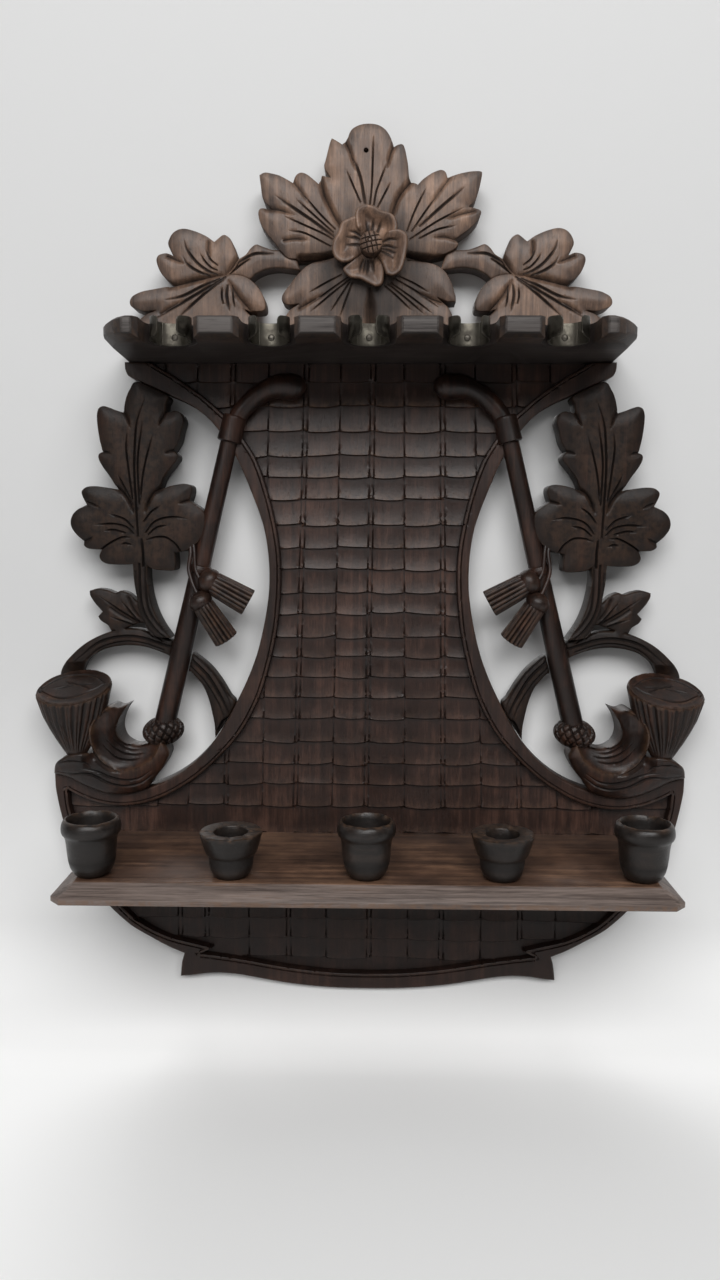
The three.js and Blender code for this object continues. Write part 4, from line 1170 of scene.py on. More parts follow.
# %% Flower
PETAL_BACK = 18.4
PETALS = {
    "left": {
        "outline": [(-6.5, 187.6), (-10.5, 187), (-14.6, 184.6), (-16.2, 180.2), (-18.8, 175.4),
                    (-19.2, 170.6), (-17.5, 167), (-14, 165.2), (-10, 165.8), (-6.5, 168.2), (-3.5, 171),
                    (-1, 176), (-3, 182)],
        "cuts": [[(-11.6, 177.9), (-8.6, 178.1), (-4.6, 176.6)],
                 [(-11.8, 174.4), (-8.2, 174.5), (-4.6, 174.2)],
                 [(-10.6, 180.9), (-8.0, 180.6), (-4.8, 178.4)]],
        "face": 24.9, "rise": 0.9, "centre": (-9.5, 176),
    },
    "bottom": {
        "outline": [(-13.6, 162.9), (-12.6, 160), (-10, 158.1), (-5, 157.2), (-0.9, 155.1), (3.1, 153.6),
                    (6.1, 155), (7.2, 159.4), (7, 164), (4.6, 170.4), (0.5, 173.6), (-5.6, 170.4), (-9, 167)],
        "cuts": [[(-5.2, 161.2), (-4.4, 164.4), (-3.2, 167.4)], [(-1.6, 159.8), (-1.2, 163.4), (-0.8, 167)],
                 [(1.8, 160.6), (1.5, 164), (1.2, 167)], [(-3.4, 160.6), (-2.8, 163.4), (-2.2, 167)]],
        "face": 23.4, "rise": 0.0, "centre": (-2.5, 163.5),
    },
    "top": {
        "outline": [(-3.4, 178.4), (-6.8, 182), (-7.8, 187.4), (-7.1, 190.6), (-4.6, 192.6), (-1.4, 193.2),
                    (2.2, 192.2), (5.6, 190.4), (10.2, 189.2), (13, 186.4), (13.8, 182), (11.6, 177.6),
                    (5, 174.4), (0, 174.6)],
        "cuts": [[(5.6, 185.8), (4.4, 182.6), (3.2, 179.4)], [(1.6, 186.8), (1.2, 183.2), (0.8, 179.6)],
                 [(-1.9, 185.8), (-1.4, 182.6), (-1.0, 179.6)]],
        "face": 25.5, "rise": 2.4, "centre": (2.8, 183),
    },
    "right": {
        "outline": [(5.6, 176.4), (8.2, 179.6), (11.2, 180.9), (14.9, 180.8), (18.3, 178.6), (19.1, 174.4),
                    (18.4, 169.4), (17.1, 163.8), (15.1, 159.9), (11.6, 158), (8.1, 158.9), (6.4, 163.6),
                    (4.6, 167.6), (2, 172), (3, 175)],
        "cuts": [[(13.4, 176.2), (10.2, 176.3), (5.8, 175.2)], [(13.6, 172.2), (10.2, 173), (5.8, 173.4)],
                 [(11.6, 167.4), (9.2, 169), (5.4, 171)], [(13, 169.9), (10, 171), (5.8, 172.2)]],
        "face": 26.8, "rise": 1.4, "centre": (11.5, 170),
    },
}
BUTTON = {"centre": (0.5, 173.6), "radius": 5.7, "back": 19.5, "face": 31.4}
CUP = {"depth": 2.4, "foot": 6.0, "rise_run": 4.5, "lip": 0.6, "run": 7.0}


def petal_height(loop, petal, cuts):
    """A cupped petal: high at the rim, low beside the button."""
    button = np.array(BUTTON["centre"])

    def height(points):
        gap = gap_to(points, loop)
        depth, dirt = carved(points, cuts)
        reach = np.linalg.norm(points - button, axis=1)
        rim = unit((reach - CUP["foot"]) / CUP["rise_run"])
        inward = unit((gap - CUP["lip"]) / CUP["run"])
        sunk = (CUP["depth"] + petal["rise"]) * (1 - rim * (1 - inward * inward * (3 - 2 * inward)))
        lift = petal["face"] - sunk - depth - rounding(gap, 1.3) + 0.35 * lilt(points, 12.0, 6)
        # The hollow beside the button is painted darker, as shade.
        return lift, np.maximum(dirt * 0.9, 0.35 * (1 - rim)), near(gap, 0.7, 0.5) * 0.8

    return height


def make_petal(label, petal):
    """One petal of the flower."""
    loop = rounded_outline(np.array(petal["outline"]), 0.5, bulge=100.0)
    loop = loop if area(loop) > 0 else loop[::-1]
    cuts = [Stroke(line, 0.95, 0.9, (0.4, 0.8), 0.7) for line in petal["cuts"]]
    taper = (*petal["centre"], 0.86)
    return relief(f"petal_{label}", [loop], PETAL_BACK, petal_height(loop, petal, cuts), all_guides(cuts),
                  spacing=0.7, cell=0.25, edge_rings=(0.2, 0.5, 0.9, 1.5), taper=taper, wall_shade=0.3)


flower = [make_petal(label, petal) for label, petal in PETALS.items()]
for piece in flower:
    finish(piece, carved_walnut, nodes=["rosette_petals"] if piece is flower[0] else [])

# %% [markdown]
# The flower's button is a little dome with crossed saw cuts, which leave rows of squares, and a drilled eye.

# %% Button
EYE = {"at": (-0.1, 174.4), "ring": 1.0, "reach": 1.35}
SAW_STEPS = (-1.25, 0.0, 1.25)


def saw_cuts(shift, run):
    """Three parallel cuts across the button: the step between them, and half their length."""
    x, z = BUTTON["centre"]
    return [Stroke([(x + s * shift[0] - run[0], z + s * shift[1] - run[1]),
                    (x + s * shift[0] + run[0], z + s * shift[1] + run[1])], 0.42, 0.8, (1.0, 1.0))
            for s in SAW_STEPS]


BUTTON_CUTS = saw_cuts((0.96, 2.2), (6.0, 1.4)) + saw_cuts((2.2, -0.9), (-1.4, 6.0))


def button_height(points):
    """A shallow dome with crossed cuts and a ringed eye."""
    radius = np.linalg.norm(points - np.array(BUTTON["centre"]), axis=1)
    depth, dirt = carved(points, BUTTON_CUTS)
    eye = np.linalg.norm(points - np.array(EYE["at"]), axis=1)
    ring = near(eye, 0.22, EYE["ring"])
    depth = np.where(eye < EYE["reach"], 0.75 * ring, depth)
    crown = 1.9 * (radius / BUTTON["radius"]) ** 2.2
    lift = BUTTON["face"] - crown - rounding(BUTTON["radius"] - radius, 0.8)
    return lift - depth, np.maximum(dirt * (eye > EYE["reach"]), ring), unit(1 - radius / 5.5) * 0.5


button_rim = circle(BUTTON["centre"], BUTTON["radius"], 60)
button_guides = all_guides(BUTTON_CUTS) + [circle(EYE["at"], r, 20) for r in (0.5, 0.8, 1.0, 1.2, 1.4)]
button = relief("flower_button", [button_rim], BUTTON["back"], button_height, button_guides, spacing=0.45,
                cell=0.16, edge_rings=(0.2, 0.5, 0.9))
finish(button, carved_walnut, nodes=["rosette_button"])

# %% [markdown]
# The board's face has a raised border round a sunk field. The field is patterned with a wide flat gouge: the
# carver works down each column and stops every cut at the same height, so that every scoop ends in a small
# step. Between the columns run V-tool lines, some of them doubled. No two scoops are quite alike, which a
# seeded set of random numbers gives.

# %% Field pattern
FIELD_FACE = 10.0
BORDER_FACE = 14.0
ROW_STEPS = [108.5, 96.1, 83.1, 70.0, 59.0, 47.3, 33.5, 21.2, 9.4, -3.1, -14.5, -27.1, -38.1, -49.2,
             -60.8, -72.5, -85.4, -97.9, -109.8, -122.3, -137.5, -151.0, -163.0, -175.5, -187.4, -199.0,
             -210.0, -222.0]
COLUMN_LOW_Z = -119.0
COLUMN_HIGH_Z = 91.0
COLUMNS = [(-135, -125, True), (-117.2, -109, False), (-100.2, -92, False), (-79.2, -73, True),
           (-58.8, -53.9, False), (-40.5, -34.0, True), (-19.9, -15.7, False), (-1.0, 1.6, True),
           (20.4, 18.5, False), (41.7, 38.9, True), (63.0, 56.2, False), (84, 77, True), (105, 96, False),
           (125, 116, True), (146, 136, False)]
APRON_COLUMNS = [(-106, True), (-90.8, True), (-67, False), (-44.6, True), (-23.4, False), (1, True),
                 (22.8, False), (41.8, True), (64, False), (86, True), (106, False)]
SHELF_LINE = -142.0
LINE_FOOT = -123.6
FIELD_REACH = 170.0
STEP_DEPTH = 1.0
STEP_RUN = 0.65
LIP_SHEEN_RUN = 4.5
LINE_HALF = 0.5
LINE_DEPTH = 1.2
TWIN_GAP = 1.2
LINE_STOPS = (LINE_FOOT, 30.0, 118.0)
APRON_FEET = {"inner": -214.0, "outer": -199.0, "inner_reach": 70.0}


def column_lines():
    """The V-tool lines, as (points, doubled), above and below the lower shelf."""
    lines = []
    for low, high, doubled in COLUMNS:
        lean = (high - low) / (COLUMN_HIGH_Z - COLUMN_LOW_Z)
        lines.append(([(low + lean * (z - COLUMN_LOW_Z), z) for z in LINE_STOPS], doubled))
    for x, doubled in APRON_COLUMNS:
        foot = APRON_FEET["inner"] if abs(x) < APRON_FEET["inner_reach"] else APRON_FEET["outer"]
        lines.append(([(x, -147.0), (x, -180.0), (x, foot)], doubled))
    return lines


def column_strokes():
    """The V-tool lines as strokes, two where a line is doubled."""
    strokes = []
    for line, doubled in column_lines():
        for shift in ((-TWIN_GAP, TWIN_GAP) if doubled else (0.0,)):
            run = [(x + shift * (1 + 0.1 * math.sin(z * 0.11)), z) for x, z in line]
            strokes.append(Stroke(run, LINE_HALF, LINE_DEPTH, (0.75, 0.9)))
    return strokes


def column_of(points):
    """For each point its column's number and its place across it, from 0 to 1."""
    upper = np.array([[low, high] for low, high, _ in COLUMNS])
    share = (points[:, 1:] - COLUMN_LOW_Z) / (COLUMN_HIGH_Z - COLUMN_LOW_Z)
    edges = upper[:, 0] + (upper[:, 1] - upper[:, 0]) * share
    apron = np.array([x for x, _ in APRON_COLUMNS] + [FIELD_REACH] * (len(COLUMNS) - len(APRON_COLUMNS)))
    edges = np.where(points[:, 1:] < SHELF_LINE, apron, edges)
    number = (edges < points[:, :1]).sum(1)
    row = np.arange(len(points))
    left = np.where(number > 0, edges[row, np.maximum(number - 1, 0)], -FIELD_REACH)
    right = np.where(number < len(COLUMNS), edges[row, np.minimum(number, len(COLUMNS) - 1)], FIELD_REACH)
    return number, unit((points[:, 0] - left) / np.maximum(right - left, 1e-6))


draw = np.random.default_rng(SEED)
CELL_COUNT = (len(COLUMNS) + 1, len(ROW_STEPS))
STEP_SHIFT = draw.normal(0, 0.4, CELL_COUNT)
STEP_TILT = draw.normal(0, 0.7, CELL_COUNT)
STEP_SAG = draw.uniform(0.2, 1.0, CELL_COUNT)
SCOOP = draw.uniform(0.75, 1.25, CELL_COUNT)


def step_height(number, across, row):
    """The height on the board at which a scoop ends, for a row and a place in a column."""
    base = np.array(ROW_STEPS)[row] + STEP_SHIFT[number, row] + STEP_TILT[number, row] * (across - 0.5)
    return base - STEP_SAG[number, row] * (1 - (2 * across - 1) ** 2)


def scooped(points):
    """Depth of the gouged pattern at each point, a painted shadow just under each scoop's step, and the lip
    where a scoop ends, which the board paints with wear and sheen.
    """
    number, across = column_of(points)
    rows = [np.full(len(points), row) for row in range(len(ROW_STEPS))]
    steps = np.stack([step_height(number, across, row) for row in rows], 1)
    below = np.clip((steps > points[:, 1:]).sum(1), 1, len(ROW_STEPS) - 1)
    index = np.arange(len(points))
    upper = steps[index, below - 1]
    lower = steps[index, below]
    fallen = upper - points[:, 1]
    drop = unit(fallen / STEP_RUN)
    run = unit(fallen / np.maximum(upper - lower, 1))
    depth = STEP_DEPTH * SCOOP[number, below] * drop * (1 - run ** 2.3)
    side = 0.3 * (1 - (2 * across - 1) ** 2)
    # Painted shadow just under each step; the lip above the next step is where the board paints wear and sheen.
    foot = drop * unit(1 - (fallen - STEP_RUN) / 1.1)
    lip = unit(1 - (points[:, 1] - lower) / LIP_SHEEN_RUN)
    return depth + side * (1 - run) * drop, 0.7 * foot, lip


def step_guides():
    """Points along each scoop's end, its drop and the floor below it."""
    lines = []
    for row in range(len(ROW_STEPS)):
        x = np.arange(-166.0, 166.0, 1.05)
        number, across = column_of(np.column_stack([x, np.full(len(x), ROW_STEPS[row])]))
        z = step_height(number, across, np.full(len(x), row))
        lines += [np.column_stack([x, z + up]) for up in (0.02, -STEP_RUN, 0.9)]
    return lines


FIELD_LINES = column_strokes()
print("field lines", len(FIELD_LINES), "rows", len(ROW_STEPS))

# %% [markdown]
# The border is left at the board's full thickness. A V-tool line runs just inside its edge and leaves a thin
# bead beside the field, which catches the light. At the back the screws for the lower shelf are sunk.

# %% Board
BOARD_LOOPS = flat_loops("back_board", 0.0)
FIELD_LOOP = rounded_outline(flat_loops("back_board", -FIELD_FACE)[0], 1.1, hollow=60.0)
BEAD = {"ridge": 0.9, "groove": 1.75, "half": 0.42, "depth": 0.75}
# The apron under the lower shelf is painted darker, as shade.
APRON_SHADE = 0.45
BORDER_SOOT = 0.2
SINKS = [((x, -142.3), 3.7, 0.75) for x in (-110.0, 0.0, 110.0)]


def board_height(loop):
    """Height of the board's face: border, bead, and the gouged field."""

    def height(points):
        gap = gap_to(points, loop)
        inner = gap_to(points, FIELD_LOOP)
        within = inside(points, [FIELD_LOOP])
        lines, line_dirt_and_shade = carved(points, FIELD_LINES)
        scoops, step_shadow, lip = scooped(points)
        field = FIELD_FACE - 0.2 - np.maximum(scoops, lines) + 0.12 * lilt(points, 30.0, 8)
        groove = unit(1 - np.abs(inner - BEAD["groove"]) / BEAD["half"])
        bead = 0.35 * unit((inner - BEAD["ridge"]) / -BEAD["ridge"]) ** 1.5
        border = BORDER_FACE - BEAD["depth"] * groove - bead - rounding(gap, 0.8)
        border = border + 0.08 * lilt(points, 24.0, 9)
        # Painted shade along the foot of the border and on the apron under the lower shelf, joined with the
        # dirt and painted shade in the cuts and the painted shadow under each step.
        foot = unit(1 - inner / 1.4) * within
        shade_below_tray = APRON_SHADE * (points[:, 1] < SHELF_LINE)
        field_dirt_and_shade = np.maximum(np.maximum(line_dirt_and_shade, step_shadow), np.maximum(0.8 * foot, shade_below_tray))
        dirt = np.where(within, field_dirt_and_shade, np.maximum(0.9 * groove, BORDER_SOOT))
        rim = near(gap, 0.8) * 0.3 + near(inner, 0.4, BEAD["ridge"]) * 0.35
        # The scoops' lips get wear and a painted sheen, stronger towards the top of the field.
        high = 0.25 + 0.45 * unit((points[:, 1] - 5.0) / 60.0)
        wear = np.where(within, high * lip * (1 - field_dirt_and_shade), rim)
        return np.where(within, field, border), dirt, wear

    return height


def board_guides():
    """Extra points where the board's face bends sharply."""
    ring_at = (0.12, 0.5, 0.9, 1.3, 1.75, 2.2)
    outward = [FIELD_LOOP - (ring - FIELD_LOOP) for ring in rings(FIELD_LOOP, ring_at)]
    inward = rings(FIELD_LOOP, (0.35, 0.9))
    lines = [guide for stroke in FIELD_LINES for guide in board_line_guides(stroke)]
    return [*outward, *inward, *lines, *step_guides()]


def board_line_guides(stroke):
    """The bottom and the two sides of a field line, kept sparse."""
    line = stroke.line[::2]
    shift = np.array([stroke.half + 0.05, 0.0])
    return [line, line - shift, line + shift]


def make_board():
    """The whole back board."""
    outline = rounded_outline(BOARD_LOOPS[0], 1.1, hollow=60.0)
    return relief("board", [outline], 0.0, board_height(outline), board_guides(), spacing=2.3, cell=0.42,
                  edge_rings=(0.3, 0.8, 1.6), pits=SINKS)


board = make_board()
finish(board, board_walnut, nodes=["back_board"])

# %% [markdown]
# Each carved pipe is a round stem with a curved mouthpiece, a ring of cord, a knurled ball, a foot like a
# curled leaf and an open bowl. The round parts are lofted: rings of points are set along a path and joined.


# %% Lofting helpers
def frame_rings(path, radii, segments):
    """Rings round a path, one for each of its points, without twist."""
    path = np.asarray(path, float)
    step = np.gradient(path, axis=0)
    step /= np.linalg.norm(step, axis=1, keepdims=True)
    side = np.array((0.0, -1.0, 0.0))
    angle = np.linspace(0, 2 * math.pi, segments, endpoint=False)
    made = []
    for place, ahead, radius in zip(path, step, radii):
        side = side - ahead * side.dot(ahead)
        side /= np.linalg.norm(side)
        other = np.cross(ahead, side)
        made.append(place + radius * (np.cos(angle)[:, None] * side + np.sin(angle)[:, None] * other))
    return np.array(made)


def loft(name, ring_points):
    """Joins rings into a closed skin; each end is closed by a fan."""
    count, segments = ring_points.shape[:2]
    points = [*ring_points.reshape(-1, 3), ring_points[0].mean(0), ring_points[-1].mean(0)]
    near, far = count * segments, count * segments + 1
    faces = []
    for i in range(segments):
        j = (i + 1) % segments
        for k in range(count - 1):
            faces.append((k * segments + i, k * segments + j, (k + 1) * segments + j, (k + 1) * segments + i))
        faces.append((near, j, i))
        faces.append((far, (count - 1) * segments + i, (count - 1) * segments + j))
    piece = new_piece(name, points, faces)
    edited(piece, outwards)
    return piece


def rod(name, corners, radii, spacing=0.8, segments=28):
    """A round rod along a smooth path; its radius follows the given corners."""
    corners = np.asarray(corners, float)
    path = through(corners, spacing)
    run = np.concatenate([[0], np.cumsum(np.linalg.norm(np.diff(path, axis=0), axis=1))])
    marks = [run[nearest(path, corner)] for corner in corners]
    return loft(name, frame_rings(path, np.interp(run, marks, radii), segments))


# %% [markdown]
# The stem thickens slowly towards the ball. Its mouthpiece bends over and ends in a flattened bulb, and a
# ferrule sits where the two meet.

# %% Stem and mouthpiece
STEM_Y = -13.0
STEM_TOP = 80.0
STEM_FOOT = -80.0
BALL_Z = -79.6


def stem_x(z):
    """Where the stem's middle is at a height."""
    return 75.5 + 0.245 * (72.0 - z)


def stem_at(z):
    """The stem's middle at a height, as a point."""
    return (stem_x(z), STEM_Y, z)


def along_stem(*heights):
    """The stem's middle at each of some heights."""
    return [stem_at(z) for z in heights]


def make_stem():
    """The stem, the mouthpiece, the ferrule and the ring."""
    bend = [(33.8, 103.8), (35.4, 104.3), (38, 104.8), (41, 105), (47.5, 105.2), (54, 103.4), (60, 100),
            (65, 95.4), (69.4, 90), (stem_x(STEM_TOP) + 0.1, STEM_TOP)]
    mouth_radii = (1.2, 4.6, 6.4, 7, 6.5, 5.4, 5.1, 4.9, 4.8, 4.7)
    return {
        "stem": rod("stem", along_stem(STEM_TOP, 40, 0, -40, STEM_FOOT), (4.6, 4.8, 5.2, 5.6, 5.9), 4.0, 36),
        "mouthpiece": rod("mouthpiece", [(x, STEM_Y, z) for x, z in bend], mouth_radii),
        "ferrule": rod("ferrule", along_stem(90.0, 89.4, 83, 77, 76.4), (5.6, 6.1, 6.3, 6.6, 5.9), 2.0, 36),
        "ring": rod("stem_ring", along_stem(11.4, 10.8, 9, 7.2, 6.6), (5.2, 6.0, 6.4, 6.0, 5.2), 0.6, 36),
    }


for label, made in make_stem().items():
    smooth(made, 50.0)
    both_sides(made, label, pipe_walnut, ["pipe"] if label == "stem" else [])

# %% [markdown]
# The ball at the stem's foot is knurled: two sets of slanting grooves cross and leave blunt pyramids.

# %% Knurled ball
BALL = {"radii": (11.6, 8.6, 8.2), "lean": math.radians(-12), "grooves": 14, "depth": 1.4, "pitch": 2.3,
        "groove_width": 0.34, "smooth_pole": 0.86}


def knurled_ball():
    """A sphere primitive, pressed in along crossing grooves."""
    bpy.ops.object.select_all(action="DESELECT")
    bpy.ops.mesh.primitive_uv_sphere_add(segments=140, ring_count=80, radius=1.0)
    ball = bpy.context.object
    points = np.array([v.co for v in ball.data.vertices])
    around = np.arctan2(points[:, 1], points[:, 0]) * BALL["grooves"] / (2 * math.pi)
    upward = np.arcsin(np.clip(points[:, 2], -1, 1)) * BALL["pitch"] / 2
    crossing = [np.abs((around + sign * upward) % 1.0 - 0.5) * 2 for sign in (1, -1)]
    cut = unit(1 - np.minimum(1 - crossing[0], 1 - crossing[1]) / BALL["groove_width"])
    cut = cut * (1 - unit((np.abs(points[:, 2]) - BALL["smooth_pole"]) / 0.1))
    points = points * (np.array(BALL["radii"]) - BALL["depth"] * cut[:, None])
    turn = np.array(Matrix.Rotation(-BALL["lean"], 3, "Y"))
    points = points @ turn.T + np.array(stem_at(BALL_Z))
    ball.data.vertices.foreach_set("co", (points * MM).ravel())
    mark(ball, "dirt", cut * 0.9)
    mark(ball, "wear", (1 - cut) * 0.15)
    return ball


ball = knurled_ball()
smooth(ball, 40.0)
both_sides(ball, "ball", pipe_walnut)

# %% [markdown]
# The foot curls up from under the ball to the bowl. It is a leaf seen from its edge: a dished upper surface
# with fine grooves, a ridge, and a rounded belly below with three long cuts.

# %% Pipe foot
FOOT_FACE = 21.0
FOOT_BACK = 5.0
FOOT_OUTLINE = [(112.5, -84), (108.9, -90.5), (110.3, -95.6), (113.8, -101.2), (118.3, -106.7),
                (121.9, -111.6), (131.2, -114.3), (139.5, -114.9), (147.8, -113.2), (156, -109.9),
                (164.2, -105.6), (172.6, -103.2), (171.6, -99), (168.9, -95.4), (163.7, -92.0),
                (157.0, -90.4), (150.6, -91.0), (150.4, -87.6), (151.1, -81.8), (149.6, -74.0),
                (146.0, -68.6), (140.4, -64.8), (135.4, -66.0), (130.6, -64.4), (133.4, -68.6),
                (135.2, -73.0), (136.0, -78.0), (134.6, -83.0), (131.2, -86.2), (126.6, -87.6),
                (121.5, -86.4)]
RIDGE = [(113.2, -86.0), (117.2, -93.8), (126.9, -99.5), (137.4, -100.4), (144.9, -95.5), (148.6, -88.6),
         (149.3, -81.8), (147.8, -74.1), (144.4, -68.8), (139.6, -65.6)]
INNER_EDGE = [(131.2, -64.7), (134.8, -71.5), (136.5, -77.3), (135.7, -82.1), (132.4, -86.1), (126.8, -87.3),
              (121.0, -86.6), (117.2, -85.2)]
FOOT_STROKES = [
    vein((121.6, -91.0), (127.4, -92.4), (134.1, -91.3), (138.9, -87.7), (142.3, -82.1), ends=(0.0, 0.0)),
    vein((123.6, -93.8), (129.4, -95.2), (136.4, -94.4), (141.3, -90.7), (144.3, -85.5), ends=(0.0, 0.0)),
    vein((124.0, -89.6), (129.3, -90.0), (133.4, -88.6), (136.9, -85.4), (139.0, -81.0),
         depth=0.8, ends=(0.0, 0.0)),
    vein((118.1, -100.4), (124.9, -104.8), (132.6, -105.7), (140.3, -104.2), (147.8, -101.1), (153.5, -99.9),
         (159.2, -100.1), half=0.8, ends=(0.1, 0.1)),
    vein((116.7, -102.4), (124.1, -107.5), (132.8, -109.2), (141.3, -107.6), (149.8, -103.3), (155.5, -102.3),
         (163.2, -102.8), (169.8, -101.5), half=0.9, depth=1.4, ends=(0.1, 0.2)),
    vein((149.7, -100.1), (153.4, -96.2), (159.0, -94.7), (164.8, -95.1), (168.6, -96.4),
         depth=0.9, ends=(0.1, 0.3)),
    Stroke([(150.4, -90.6), (146.6, -95.6), (141.0, -99.6), (134.0, -102.0)], 1.5, 1.9, (1.0, 0.0), 1.0),
]
FOOT_CUP = {"depth": 3.4, "reach": 2.4}
CURL = {"x": 131.0, "run": 9.0, "z": -75.0, "spread": 11.0, "height": 6.5}
HEEL = {"x": 150.0, "run": 5.0, "z": -92.0, "spread": 6.0, "height": 3.4}


def swelling(points, form):
    """Height of a broad swelling about one level, which starts at an x and grows over a run."""
    rise = form["height"] * near(points[:, 1], form["spread"], form["z"])
    return rise * unit((points[:, 0] - form["x"]) / form["run"])


def make_foot():
    """The curled foot in relief: a ridge, a cupped leaf on its inner side and a rounded belly below."""
    loop = rounded_outline(np.array(FOOT_OUTLINE), 0.7)
    ridge = through(RIDGE, 0.7)
    cup = np.vstack([ridge, through(INNER_EDGE, 0.7)])

    def height(points):
        gap = gap_to(points, loop)
        away, _ = beside(points, ridge)
        depth, dirt = carved(points, FOOT_STROKES)
        hollow = FOOT_CUP["depth"] * (1 - np.exp(-away / FOOT_CUP["reach"])) * inside(points, [cup])
        raised = swelling(points, CURL) + swelling(points, HEEL)
        belly = dome(gap, 9.0, 3.2) * (1 - np.clip(raised / 3.0, 0, 0.8))
        lift = FOOT_FACE + raised - depth - hollow - belly - rounding(gap, 1.4)
        lift = lift + 0.15 * lilt(points, 14.0, 10)
        return lift, dirt * 0.9, near(gap, 1.2) * 0.3 + near(away, 1.5) * 0.6

    guides = [*all_guides(FOOT_STROKES), ridge, ridge + 0.5, ridge - 0.5]
    return relief("foot", [loop], FOOT_BACK, height, guides, spacing=1.0, wall_shade=0.7)


both_sides(make_foot(), "foot", pipe_walnut)

# %% [markdown]
# The bowl flares to a slanting top, squashed front to back. Uneven gouge cuts run up its sides, and the top
# carries an incised almond with crossing lines.

# %% Pipe bowl
BOWL = {"x": 158.8, "y": -20.0, "z": -55.0, "radius": 20.2, "squash": 12.0 / 20.2, "height": 38.0,
        "lean": math.radians(33), "side_lean": math.radians(-6), "segments": 288}
GROOVE_TWIST = 6.0
BOWL_PROFILE = [(-38.0, 4.4), (-34.0, 7.0), (-27.0, 11.0), (-20.0, 14.4), (-13.0, 17.2), (-5.0, 19.3),
                (-1.2, 20.2), (0.0, 19.8)]
BOWL_GROOVES = [(-150, 4, 0.8), (-139, 5, 1.3), (-128, 3, 0.8), (-116, 5, 1.5), (-107, 2.4, 0.6),
                (-97, 4.6, 1.3), (-89, 2.4, 0.6), (-81, 4.4, 1.3), (-74, 2.4, 0.7), (-66, 4.6, 1.3),
                (-57, 2.4, 0.6), (-49, 5, 1.4), (-38, 3, 0.8), (-26, 4, 1.0), (-10, 3, 0.7),
                (15, 4, 1.0), (40, 4, 0.9), (70, 4, 1.0), (95, 4, 0.9), (125, 4, 1.0), (150, 4, 0.9),
                (178, 4, 0.9)]


def bowl_groove(angle, share):
    """Depth of the gouge cuts round the bowl, which run from its rim down to its foot."""
    depth = np.zeros(len(angle))
    for where, half, deep in BOWL_GROOVES:
        middle = math.radians(where + GROOVE_TWIST * (1 - share))
        away = np.degrees(np.abs(np.angle(np.exp(1j * (angle - middle)))))
        depth = np.maximum(depth, deep * unit(1 - away / half))
    return depth * unit((share - 0.1) / 0.4) ** 0.5 * unit((0.995 - share) / 0.02)


def bowl_corner(across):
    """How much further the bowl reaches at its blunt outer corner; across is 1 there."""
    return 1 + 0.05 * unit(across) ** 8


def bowl_skin():
    """The bowl's side, from its foot to its slanting rim."""
    angle = np.linspace(0, 2 * math.pi, BOWL["segments"], endpoint=False)
    heights = np.concatenate([np.linspace(-BOWL["height"], -2, 30), [-1.2, -0.6, 0.0]])
    radii = np.interp(heights, *zip(*BOWL_PROFILE))
    corner = bowl_corner(np.cos(angle))
    layers = []
    marks = []
    for height, radius in zip(heights, radii):
        share = (height + BOWL["height"]) / BOWL["height"]
        groove = bowl_groove(angle, share)
        reach = radius * (1 + (corner - 1) * share) - groove
        x = BOWL["x"] + reach * np.cos(angle)
        y = BOWL["y"] + reach * np.sin(angle) * BOWL["squash"]
        top = math.tan(BOWL["lean"]) * (y - BOWL["y"]) + math.tan(BOWL["side_lean"]) * (x - BOWL["x"])
        layers.append(np.stack([x, y, BOWL["z"] + height + top * share], 1))
        marks.append(unit(groove * 1.1))
    bowl = loft("bowl", np.array(layers))
    mark(bowl, "dirt", [*np.concatenate(marks), 0.0, 0.0])
    mark(bowl, "wear", [*np.repeat(np.where(heights > -1.5, 0.5, 0.12), BOWL["segments"]), 0.0, 0.3])
    return bowl


bowl = bowl_skin()
smooth(bowl, 42.0)
both_sides(bowl, "bowl", pipe_walnut)

# %% Top of the bowl
BOWL_TOP_CUTS = [
    Stroke([(-16.5, 0.6), (-11, 6.0), (-4, 9.0), (5, 9.4), (12, 6.6), (18, 1.4)], 0.9, 1.3, (0.3, 0.7)),
    Stroke([(-16.5, 0.6), (-12, -3.6), (-5, -7.2), (3, -8.8), (10, -7.0), (18, -1.4)], 1.1, 1.7, (0.3, 0.9)),
    Stroke([(-9, -2.6), (-3, 0.4), (5, 4.6)], 0.85, 1.4, (0.4, 0.3)),
    Stroke([(-10, 1.0), (-2, 1.4), (7, 0.6), (11, 0.2)], 0.75, 1.2, (0.3, 0.3)),
    Stroke([(1, 2.8), (4, 0.6), (9, -0.6)], 0.6, 1.0, (0.3, 0.3)),
]


def bowl_top():
    """A thin relief plate in the slanting plane of the bowl's rim."""
    across, along = BOWL["radius"] - 0.7, BOWL["radius"] * BOWL["squash"] / math.cos(BOWL["lean"]) - 0.6
    rim = circle((0, 0), 1.0, 90)
    rim = rim * bowl_corner(rim[:, :1]) * np.array([across, along])

    def height(points):
        gap = gap_to(points, rim)
        depth, dirt = carved(points, BOWL_TOP_CUTS)
        lip = 0.35 * near(gap, 1.2)
        lift = 0.75 - depth + lip - rounding(gap, 0.7) + 0.25 * lilt(points, 14.0, 12)
        return lift, dirt, 0.05 + 0.3 * near(gap, 1.0)

    rise, run = math.sin(BOWL["lean"]), math.cos(BOWL["lean"])
    turn = np.array([[1.0, 0, 0], [0, run, -rise], [math.tan(BOWL["side_lean"]), rise, run]])
    plate = relief("bowl_top", [rim], -1.2, height, all_guides(BOWL_TOP_CUTS), spacing=0.9, cell=0.25,
                   turn=turn, wall_shade=0.2)
    plate.data.transform(Matrix.Translation(Vector((BOWL["x"], BOWL["y"], BOWL["z"])) * MM))
    return plate


both_sides(bowl_top(), "bowl_top", pipe_walnut)

